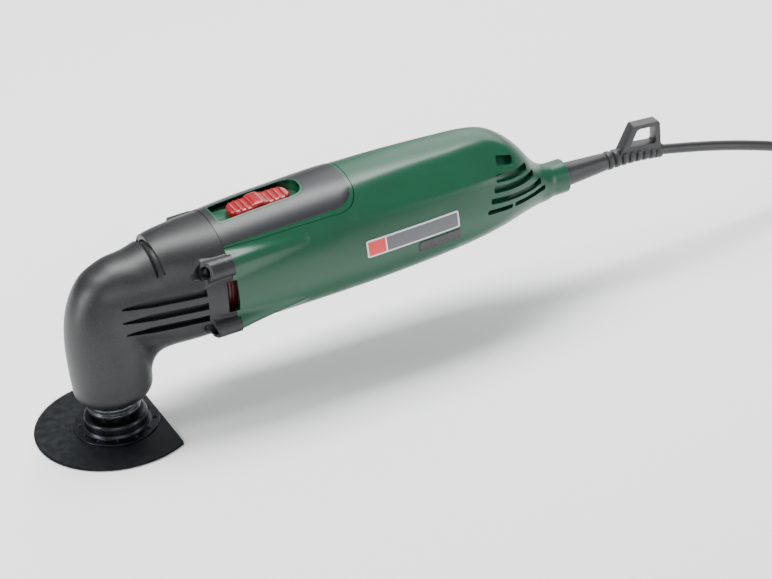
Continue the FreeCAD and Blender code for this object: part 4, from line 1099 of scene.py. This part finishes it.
def slot_tool(start, end, half_tall, near=8.0, far=45.0, lean=0.0, side=-1):
    """A slot with rounded ends through one flank."""
    a, b = np.array(start), np.array(end)
    way = (b - a) / np.linalg.norm(b - a)
    up = np.array([-way[1], way[0]]) * half_tall
    start_up = up * 1.0
    outline = rounded_outline([tuple(a - start_up), tuple(b - up * (1 - lean)),
                               tuple(b + up * (1 - lean)), tuple(a + start_up)],
                              half_tall * 0.75 * (1 - lean), 4)
    return prism("slot", outline, "Y", *((-far, -near) if side < 0 else (near, far)))


def tail_vent_tools():
    """Five slots on each flank; the lowest is split by a small rib."""
    tools = []
    for side in (-1, 1):
        for start, end, half_tall in TAIL_VENTS[:-1]:
            tools.append(slot_tool(start, end, half_tall, side=side))
        start, end, half_tall = TAIL_VENTS[-1]
        a, b = np.array(start), np.array(end)
        tools.append(slot_tool(a, a + (b - a) * 0.38, half_tall, side=side))
        tools.append(slot_tool(a + (b - a) * 0.42, b, half_tall, side=side))
    return merge("tail_vents", tools)


class MULTITOOL_OT_motor_housing(bpy.types.Operator):
    """The green motor housing and its rear side cover, with vents, window and screw fairings"""
    bl_idname = "multitool.motor_housing"
    bl_label = "Motor housing"

    def execute(self, context):
        seam = context.scene.multitool_shells.seam
        shell = skin("motor_housing_shell")
        ahead = prism("ahead", [(-60, 10), (60, 10), (60, 130), (-60, 130)], "X", 30, JOINT_X)
        carve(shell, [ahead])
        carve(shell, [boss_tools("boss_room", 60, BOSS_END + 0.05, BOSS_RADIUS + 0.25)])
        carve(shell, [boss_tools("shanks", 60, 71.5, 2.0)])
        carve(shell, [window_tool("window")])
        carve(shell, [tail_vent_tools()])
        carve(shell, [rod("collar_bore", (238, 0, COLLAR_Z), (280, 0, COLLAR_Z), 6.9, sides=48)])
        cover_room = prism("cover_room", smooth_plan(COVER_PLAN, seam), "Z", 88, 120)
        side_outline = rounded_outline(SIDE_COVER, 3.0)
        side_room = prism("side_room", grown(side_outline, seam), "Y", 17.5 - seam, 60)
        side_cover = shell.copy()
        side_cover.data = shell.data.copy()
        side_cover.name = "rear_side_cover_shell"
        context.scene.collection.objects.link(side_cover)
        carve(side_cover, [prism("keep", side_outline, "Y", 17.5, 60)], "INTERSECT")
        carve(side_cover, [merge("pockets", [
            rod("pocket", (x, 14, z), (x, 45, z), 3.1) for x, z in REAR_SCREWS])])
        carve(shell, [cover_room])
        carve(shell, [side_room])
        for piece, node in ((shell, "motor_housing"), (side_cover, "rear_side_cover")):
            finish_piece(piece, "housing", "green_plastic", node)
            follow_field(piece, body_field)
        return {"FINISHED"}


class MULTITOOL_OT_top_cover(bpy.types.Operator):
    """The green top cover with the switch's recess, and the soft grip moulded over it"""
    bl_idname = "multitool.top_cover"
    bl_label = "Top cover and grip"

    def execute(self, context):
        ahead = [(-60, 10), (60, 10), (60, 130), (-60, 130)]
        cover = skin("top_cover_shell")
        carve(cover, [prism("cover_plan", smooth_plan(COVER_PLAN), "Z", 93, 120)], "INTERSECT")
        carve(cover, [prism("ahead", ahead, "X", 30, JOINT_X + 0.1)])
        grip = skin("soft_grip", 0.3, 1.7)
        grip_plan = smooth_plan(GRIP_PLAN)
        carve(grip, [prism("grip_plan", grip_plan, "Z", 93, 120)], "INTERSECT")
        carve(grip, [prism("ahead", ahead, "X", 30, JOINT_X + 0.1)])
        carve(grip, [prism("recess_room", recess_outline(1.35), "Z", 90, 120)])
        bed = skin("grip_bed", 2.0, 3.4)
        carve(bed, [prism("grip_plan", grown(grip_plan, 0.12), "Z", 90, 125)], "INTERSECT")
        carve(bed, [prism("rim", recess_outline(1.25), "Z", 88, 130)])
        carve(cover, [bed])
        carve(cover, [prism("recess", recess_outline(), "Z", 90, 120)])
        tub = tube_mesh("recess_tub", np.arange(60, 126, 1.25), body_middle, body_field, 0.35)
        carve(tub, [prism("outer_rim", recess_outline(1.2), "Z", 99.8, 120)], "INTERSECT")
        carve(tub, [prism("recess", recess_outline(), "Z", 101.2, 120)])
        carve(tub, [prism("stem_slot", [(85.5, -2.1), (96.5, -2.1), (96.5, 2.1), (85.5, 2.1)],
                          "Z", 95, 105)])
        bevel = modify(tub, "BEVEL", width=0.35 * MM, segments=2, limit_method="ANGLE")
        bevel.angle_limit = math.radians(50)
        apply_modifiers(tub)
        whole = merge("top_cover_shell", [cover, tub])
        finish_piece(whole, "housing", "green_plastic", "top_cover")
        follow_field(whole, body_field)
        finish_piece(grip, "housing", "grip_rubber", "grip_overmould")
        follow_field(grip, body_field, 0.3)
        return {"FINISHED"}


# ------------------------------------------------------------------ pieces that repeat
def at_points(tree, given):
    """One template on each point, as it stands."""
    shape = add(tree, "GeometryNodeObjectInfo", Object=given["template"])
    return add(tree, "GeometryNodeInstanceOnPoints", Points=given["Geometry"],
               Instance=shape.outputs["Geometry"]).outputs["Instances"]


def facing_out(tree, given):
    """One template on each point, its +X turned away from the spindle."""
    shape = add(tree, "GeometryNodeObjectInfo", Object=given["template"])
    place = add(tree, "GeometryNodeInputPosition")
    turn = add(tree, "FunctionNodeAlignRotationToVector", {"axis": "X", "pivot_axis": "Z"},
               Vector=place.outputs["Position"])
    return add(tree, "GeometryNodeInstanceOnPoints", Points=given["Geometry"],
               Instance=shape.outputs["Geometry"],
               Rotation=turn.outputs["Rotation"]).outputs["Instances"]


def along_path(tree, given):
    """Templates spread along a path, square to it, and smaller towards its end."""
    shape = add(tree, "GeometryNodeObjectInfo", Object=given["template"])
    line = add(tree, "GeometryNodeMeshToCurve", Mesh=given["Geometry"])
    even = add(tree, "GeometryNodeResampleCurve", Curve=line.outputs["Curve"],
               Count=given["count"])
    spots = add(tree, "GeometryNodeCurveToPoints", {"mode": "EVALUATED"},
                Curve=even.outputs["Curve"])
    index = add(tree, "GeometryNodeInputIndex")
    last = add(tree, "ShaderNodeMath", {"operation": "SUBTRACT"}, s0=given["count"], s1=1.0)
    share = add(tree, "ShaderNodeMath", {"operation": "DIVIDE"}, s0=index.outputs[0],
                s1=last.outputs[0])
    size = add(tree, "ShaderNodeMapRange", Value=share.outputs[0], s3=1.0, s4=given["end_size"])
    scale = add(tree, "ShaderNodeCombineXYZ", X=size.outputs[0], Y=size.outputs[0], Z=1.0)
    return add(tree, "GeometryNodeInstanceOnPoints", Points=spots.outputs["Points"],
               Instance=shape.outputs["Geometry"], Rotation=spots.outputs["Rotation"],
               Scale=scale.outputs[0]).outputs["Instances"]


def repeat(name, points, template, slot, build=at_points, edges=(), **inputs):
    """Repeat a template by Geometry Nodes, and drop the template."""
    made = through_nodes(name, points, build, edges, template=template,
                         material=FINISHES[slot], **inputs)
    drop(template)
    return made


def screw_template(name, head_radius, head_tall, shank_radius, shank_long, along="X"):
    """A pan head screw with a cross recess; its head faces back along the axis."""
    profile = rounded_profile([(0.05, 0, 0), (head_radius, 0, head_tall * 0.55),
                               (head_radius, head_tall, 0.1), (shank_radius, head_tall, 0.1),
                               (shank_radius, shank_long, 0.5), (0.05, shank_long, 0)], 4)
    screw = lathe(name, profile, 32, along)
    arm, wide, deep = head_radius * 0.55, head_radius * 0.13, head_tall * 0.75
    square = [(-1, -1), (1, -1), (1, 1), (-1, 1)]
    if along == "X":
        cross = [prism("arm", [(a * u, b * v) for u, v in square], "X", -1, deep)
                 for a, b in ((arm, wide), (wide, arm))]
        carve(screw, cross[:1])
        carve(screw, cross[1:])
    return screw


# ------------------------------------------------------------------ blade, clamp and spindle
BLADE_RADIUS, BLADE_CUT, BLADE_SHEET = 44.0, 23.1, 1.0
SCREW_HEAD_X = 52.6


class MULTITOOL_OT_saw_blade(bpy.types.Operator):
    """The segment saw blade with its fine teeth, and the welded hub that holds it"""
    bl_idname = "multitool.saw_blade"
    bl_label = "Saw blade and hub"

    def execute(self, context):
        settings = context.scene.multitool_blade
        pitch, depth = settings.tooth_pitch, settings.tooth_depth
        radius = BLADE_RADIUS - depth
        corner = math.acos(BLADE_CUT / radius)
        turns = np.linspace(corner, 2 * math.pi - corner, 181)
        outline = [(radius * math.cos(t), radius * math.sin(t)) for t in turns]
        blade = prism("saw_blade_sheet", outline, "Z", 0, BLADE_SHEET)
        carve(blade, [rod("bore", (0, 0, -1), (0, 0, 3), 15, sides=64)])
        count = int((2 * math.pi - 2 * corner) * BLADE_RADIUS / pitch)
        half = pitch * 0.43
        tooth = prism("tooth", [(-0.15, -half), (depth, -0.12), (depth, 0.12), (-0.15, half)], "Z",
                      0.02, BLADE_SHEET - 0.02)
        corner = math.acos(BLADE_CUT / BLADE_RADIUS) + 0.6 * pitch / BLADE_RADIUS
        turns = np.linspace(corner, 2 * math.pi - corner, count)
        ring = [(radius * math.cos(t), radius * math.sin(t), 0) for t in turns]
        teeth = repeat("teeth", ring, tooth, "blued_steel", facing_out)
        finish_piece(merge("saw_blade_toothed", [blade, teeth]), "spindle_body", "blued_steel",
                     "saw_blade", angle=20)
        hub = lathe("blade_hub_cup", rounded_profile([
            (5.2, 7.7, 0), (15.0, 7.7, 0.6), (15.9, 6.6, 0.6), (15.9, 1.0, 0.1),
            (22.9, 1.0, 0.1), (22.9, 1.9, 0.35), (18.1, 1.9, 0.9), (17.0, 3.3, 1.0),
            (17.0, 8.8, 2.3), (5.2, 8.8, 0.2)]))
        weld = lathe("weld", rounded_profile([(0.05, -0.2, 0), (1.25, -0.2, 0.05),
                                              (1.25, 0.45, 0.3), (0.7, 0.45, 0.05),
                                              (0.5, 0.15, 0.05), (0.05, 0.15, 0)], 2), 14)
        spots = [(r * math.cos(t), r * math.sin(t), 1.9)
                 for i in range(settings.weld_count)
                 for r, t in [(20.2 if i % 2 else 19.6, 2 * math.pi * (i + 0.3)
                               / settings.weld_count)]]
        welds = repeat("welds", spots, weld, "blued_steel", facing_out)
        finish_piece(merge("blade_hub_welded", [hub, welds]), "spindle_body", "black_steel",
                     "blade_hub", angle=40)
        return {"FINISHED"}


class MULTITOOL_OT_flange(bpy.types.Operator):
    """The tool flange on the spindle, with its drive pins"""
    bl_idname = "multitool.flange"
    bl_label = "Tool flange"

    def execute(self, context):
        flange = lathe("spindle_flange", rounded_profile([
            (3.1, 8.8, 0), (10.5, 8.8, 0.3), (10.5, 11.6, 0.3), (14.0, 11.6, 0.7),
            (14.0, 13.4, 0.4), (13.3, 13.9, 0.25), (13.3, 15.3, 0.25), (14.0, 15.8, 0.4),
            (14.0, 17.4, 0.7), (9.0, 17.4, 0.5), (9.0, 20.5, 0.3), (5.0, 20.5, 0),
            (5.0, 11.6, 0), (3.1, 11.6, 0)]))
        pin = lathe("pin", rounded_profile([(0.05, 7.2, 0), (1.2, 7.2, 0.3), (1.2, 9.2, 0.05),
                                            (0.05, 9.2, 0)], 3), 20)
        circle = [(8.5 * math.cos(math.pi * i / 4), 8.5 * math.sin(math.pi * i / 4), 0)
                  for i in range(8)]
        pins = repeat("drive_pins", circle, pin, "steel")
        finish_piece(merge("tool_flange_turned", [flange, pins]), "spindle_body", "steel",
                     "tool_flange", angle=40)
        return {"FINISHED"}


# ------------------------------------------------------------------ small fittings
class MULTITOOL_OT_air_guide(bpy.types.Operator):
    """The ribbed dark red ring seen through the windows at the joint"""
    bl_idname = "multitool.air_guide"
    bl_label = "Air guide ring"

    def execute(self, context):
        crest, valley, profile = 26.5, 25.3, [(24.2, 66.5), (24.2, 58.0)]
        for start in np.arange(58.0, 65.0, 1.7):
            profile += [(valley, start), (valley, start + 0.9), (crest, start + 1.05),
                        (crest, start + 1.55)]
        profile.append((valley, 66.5))
        ring = lathe("air_guide_ribbed", profile, 128, "X", (0, 0, AXIS_Z))
        finish_piece(ring, "housing", "dark_red_plastic", "air_guide_ring")
        return {"FINISHED"}


class MULTITOOL_OT_screws(bpy.types.Operator):
    """The four screws of the gear head and the two of the rear side cover"""
    bl_idname = "multitool.screws"
    bl_label = "Screws"

    def execute(self, context):
        places = [(SCREW_HEAD_X, side * BOSS_Y, z) for side in (-1, 1)
                  for z in (BOSS_LOW, BOSS_HIGH)]
        screws = repeat("head_screws_set", places,
                        screw_template("screw", 3.1, 2.3, 1.85, 15.4), "black_steel")
        finish_piece(screws, "housing", "black_steel", "head_screws")
        rear = []
        for x, z in REAR_SCREWS:
            screw = screw_template("rear_screw", 2.8, 2.0, 1.4, 10.5)
            seat = skin_depth(x, z) - 0.3
            screw.data.transform(Matrix.Translation(Vector((x, seat, z)) * MM)
                                 @ Matrix.Rotation(math.radians(-90), 4, "Z"))
            rear.append(screw)
        finish_piece(merge("rear_screws_set", rear), "housing", "black_steel",
                     "rear_cover_screws")
        return {"FINISHED"}


def skin_depth(x, z):
    """How far the housing's left flank stands from the middle plane at a place."""
    ys = np.linspace(5, 40, 700)
    inside = body_field(np.column_stack([np.full(700, x), ys, np.full(700, z)])) < 0
    return float(ys[inside].max())


def flank_plate(name, x0, x1, z0, z1, corner, proud):
    plate = skin(name, proud, proud + 0.5)
    outline = rounded_outline([(x0, z0), (x1, z0), (x1, z1), (x0, z1)], corner)
    return carve(plate, [prism("plate", outline, "Y", -45, -20)], "INTERSECT")


class MULTITOOL_OT_badges(bpy.types.Operator):
    """The plain foil badge and the small black label on the right flank"""
    bl_idname = "multitool.badges"
    bl_label = "Badge and label"

    def execute(self, context):
        badge = flank_plate("foil_badge", 138.3, 193.0, 70.9, 80.6, 1.2, 0.45)
        finish_piece(badge, "housing", "badge", "name_badge")
        follow_field(badge, body_field, 0.45)
        label = flank_plate("small_label", 169.0, 193.5, 63.0, 69.4, 0.8, 0.4)
        finish_piece(label, "housing", "label", "rating_label")
        follow_field(label, body_field, 0.4)
        return {"FINISHED"}


class MULTITOOL_OT_switch(bpy.types.Operator):
    """The red slider with its cross ribs and thumb ridge"""
    bl_idname = "multitool.switch"
    bl_label = "Switch slider"

    def execute(self, context):
        x0, x1, low = 76.5, 111.0, 101.5
        across, long = 33, 170
        u = np.linspace(0, 1, long)
        v = np.linspace(-1, 1, across)
        x = x0 + (x1 - x0) * u
        taper = (1 - np.abs(2 * u - 1) ** 7) ** (1 / 2.2)
        half = np.maximum(7.0 * taper, 0.4)
        ribs = np.zeros(long)
        for start, end, count in ((79.0, 88.5, 4), (97.5, 107.5, 4)):
            for middle in np.linspace(start, end, count):
                ribs += 0.55 * np.exp(-((x - middle) / 0.42) ** 2)
        crown = 105.6 + 0.014 * (x - x0) + 1.5 * ease(87.5, 90.5, x) * (1 - ease(94.0, 98.0, x))
        grid_x, grid_v = np.meshgrid(x, v, indexing="ij")
        side = 1 - np.abs(grid_v) ** 8
        ends = (1 - np.abs(2 * u - 1) ** 14)[:, None]
        top = (crown[:, None] - 1.1 * (1 - side) - 0.9 * (1 - ends)
               + ribs[:, None] * (np.abs(grid_v) < 0.86) * (half[:, None] > 5))
        grid_y = half[:, None] * grid_v
        upper = np.column_stack([grid_x.ravel(), grid_y.ravel(), top.ravel()])
        under = upper.copy()
        under[:, 2] = low
        n = len(upper)
        faces = []
        for i in range(long - 1):
            for j in range(across - 1):
                a, b = i * across + j, (i + 1) * across + j
                faces.append((a, b, b + 1, a + 1))
                faces.append((n + a + 1, n + b + 1, n + b, n + a))
        border = ([i * across for i in range(long)]
                  + [(long - 1) * across + j for j in range(1, across)]
                  + [i * across + across - 1 for i in range(long - 2, -1, -1)]
                  + [j for j in range(across - 2, 0, -1)])
        for a, b in zip(border, border[1:] + border[:1]):
            faces.append((b, a, n + a, n + b))
        slider = mesh_object("red_slider", np.vstack([upper, under]), faces)
        stem = prism("stem", [(92.5, -1.7), (96, -1.7), (96, 1.7), (92.5, 1.7)], "Z", 99.4,
                     low + 1)
        carve(slider, [stem], "UNION")
        finish_piece(slider, "switch", "red_plastic", "switch_slider", angle=48)
        return {"FINISHED"}


class MULTITOOL_OT_baffles(bpy.types.Operator):
    """The dark linings just inside the air slots, which hide the works from view"""
    bl_idname = "multitool.baffles"
    bl_label = "Air slot linings"

    def execute(self, context):
        wall = context.scene.multitool_shells.wall
        tail = skin("tail_lining", -4.6, 0.9)
        carve(tail, [prism("part", [(205, 30), (249, 30), (249, 120), (205, 120)], "Y", -50, 50)],
              "INTERSECT")
        finish_piece(tail, "housing", "green_plastic")
        head = head_solid("head_lining", head_field, 1.6, -wall - 1.0)
        carve(head, [head_solid("inside", head_field, 1.6, -wall - 2.0)])
        carve(head, [prism("part", [(-60, 26), (57, 26), (57, 120), (-60, 120)], "Y", -50, 50)],
              "INTERSECT")
        finish_piece(head, "housing", "black_plastic")
        return {"FINISHED"}


# ------------------------------------------------------------------ strain relief and plug
LOOP_OUTER = [(304.5, 63.4), (314.3, 79.6), (330.6, 78.2), (330.4, 60.8), (326.0, 58.0),
              (304.0, 60.5)]
LOOP_INNER = [(311.2, 67.8), (316.8, 77.0), (327.8, 76.1), (327.3, 65.6)]


class MULTITOOL_OT_strain_relief(bpy.types.Operator):
    """The rubber strain relief: cone, ribs and the loop that the tool hangs from"""
    bl_idname = "multitool.strain_relief"
    bl_label = "Strain relief"

    def execute(self, context):
        end = RELIEF_BEND * RELIEF_TURN
        path, radii = [], []
        for x, r in ((252.5, 6.6), (253, 6.8), (270.6, 6.8), (271.2, 6.7), (280, 6.1),
                     (290, 5.4), (296, 4.95), (297.2, 4.6), (297.8, 3.7)):
            path.append((x, 0, COLLAR_Z))
            radii.append(r)
        for s in np.linspace(0, end - 4.8, 12):
            path.append(tuple(relief_point(float(s))[0]))
            radii.append(3.7)
        for back, r in ((4.5, 3.7), (4.4, 4.1), (4.0, 4.3), (0.6, 4.3), (0.15, 4.1), (0, 3.5)):
            path.append(tuple(relief_point(end - back)[0]))
            radii.append(r)
        core = sweep("relief_core", path, radii, 40)
        rib = lathe("rib", rounded_profile([(0.05, -1.5, 0), (5.25, -1.5, 0.9),
                                            (5.25, 1.5, 0.9), (0.05, 1.5, 0)], 4), 40)
        line = [tuple(relief_point(float(s))[0]) for s in np.linspace(-1.0, 25.4, 24)]
        ribs = repeat("relief_ribs", line, rib, "cord_rubber", along_path,
                      [(i, i + 1) for i in range(23)], count=7, end_size=0.86)
        spine = sweep("relief_spine", [tuple(relief_point(float(s))[0] + Vector((0, 0, 3.4)))
                                       for s in np.linspace(-6, end - 4, 20)], [1.7] * 20, 20)
        loop = prism("relief_loop", rounded_outline(LOOP_OUTER, [1.5, 2.2, 1.6, 1.5, 1.0, 1.0]),
                     "Y", -3.4, 3.4)
        carve(loop, [prism("gap", rounded_outline(LOOP_INNER, [1.0, 2.6, 1.4, 1.6]), "Y",
                           -5, 5)])
        bevel = modify(loop, "BEVEL", width=0.45 * MM, segments=3, limit_method="ANGLE")
        bevel.angle_limit = math.radians(50)
        apply_modifiers(loop)
        finish_piece(merge("ribbed_relief", [core, ribs, spine, loop]), "housing",
                     "cord_rubber", "strain_relief", angle=40)
        return {"FINISHED"}


class MULTITOOL_OT_plug(bpy.types.Operator):
    """The moulded mains plug"""
    bl_idname = "multitool.plug"
    bl_label = "Mains plug"

    def execute(self, context):
        low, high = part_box("plug")
        x0, x1 = low.x / MM, high.x / MM
        y, z = PLUG_REAR[1], PLUG_REAR[2]
        rows, around = 90, 72
        x = x0 + (x1 - x0) * np.linspace(0, 1, rows)
        u = np.linspace(0, 1, rows)
        wide = np.interp(u, (0, 0.04, 0.3, 0.62, 0.85, 0.97, 1), (16.6, 17.4, 17.9, 12.5, 7.2,
                                                                  5.2, 4.4))
        tall = np.interp(u, (0, 0.04, 0.4, 0.7, 0.9, 0.97, 1), (7.0, 7.8, 8.0, 7.0, 5.6, 4.8, 4.2))
        grip = 0.35 * np.sin(u * 2 * math.pi * 16) * ease(0.3, 0.36, u) * (1 - ease(0.8, 0.86, u))
        points, faces = [], []
        for xi, w, t, g in zip(x, wide, tall, grip):
            for j in range(around):
                turn = 2 * math.pi * j / around
                c, s = math.cos(turn), math.sin(turn)
                points.append((xi, y + (w + g) * math.copysign(abs(c) ** 0.7, c),
                               z + t * math.copysign(abs(s) ** 0.7, s)))
        for i in range(rows - 1):
            for j in range(around):
                k = (j + 1) % around
                faces.append((i * around + j, i * around + k, (i + 1) * around + k,
                              (i + 1) * around + j))
        faces.append(tuple(range(around))[::-1])
        faces.append(tuple(range((rows - 1) * around, rows * around)))
        finish_piece(mesh_object("plug_body", points, faces), "housing", "plug_rubber", "plug")
        return {"FINISHED"}


# ------------------------------------------------------------------ the panel and the run
SETTINGS = {"multitool_shells": ToolShells, "multitool_blade": ToolBlade,
            "multitool_cord": ToolCord, "multitool_colours": ToolColours,
            "multitool_camera": ToolCamera}
OPERATORS = (MULTITOOL_OT_finishes, MULTITOOL_OT_stage, MULTITOOL_OT_plug, MULTITOOL_OT_cord,
             MULTITOOL_OT_cad_pieces, MULTITOOL_OT_gear_head, MULTITOOL_OT_motor_housing,
             MULTITOOL_OT_top_cover, MULTITOOL_OT_switch, MULTITOOL_OT_saw_blade,
             MULTITOOL_OT_flange, MULTITOOL_OT_air_guide, MULTITOOL_OT_screws,
             MULTITOOL_OT_badges, MULTITOOL_OT_strain_relief, MULTITOOL_OT_baffles)


class MULTITOOL_PT_pieces(bpy.types.Panel):
    """Lists the pieces of the tool"""
    bl_label = PANEL_NAME
    bl_space_type = "VIEW_3D"
    bl_region_type = "UI"
    bl_category = PANEL_NAME

    def draw(self, context):
        for name, kind in SETTINGS.items():
            box = self.layout.box()
            for field in kind.__annotations__:
                box.prop(getattr(context.scene, name), field)
        for operator in OPERATORS:
            self.layout.operator(operator.bl_idname)


def register():
    for kind in (*SETTINGS.values(), *OPERATORS, MULTITOOL_PT_pieces):
        bpy.utils.register_class(kind)
    for name, kind in SETTINGS.items():
        setattr(bpy.types.Scene, name, PointerProperty(type=kind))


def unregister():
    for name in SETTINGS:
        delattr(bpy.types.Scene, name)
    for kind in reversed((*SETTINGS.values(), *OPERATORS, MULTITOOL_PT_pieces)):
        bpy.utils.unregister_class(kind)


def main():
    """Build every piece in order."""
    register()
    for operator in OPERATORS:
        group, name = operator.bl_idname.split(".")
        getattr(getattr(bpy.ops, group), name)()


if __name__ == "__main__":
    main()
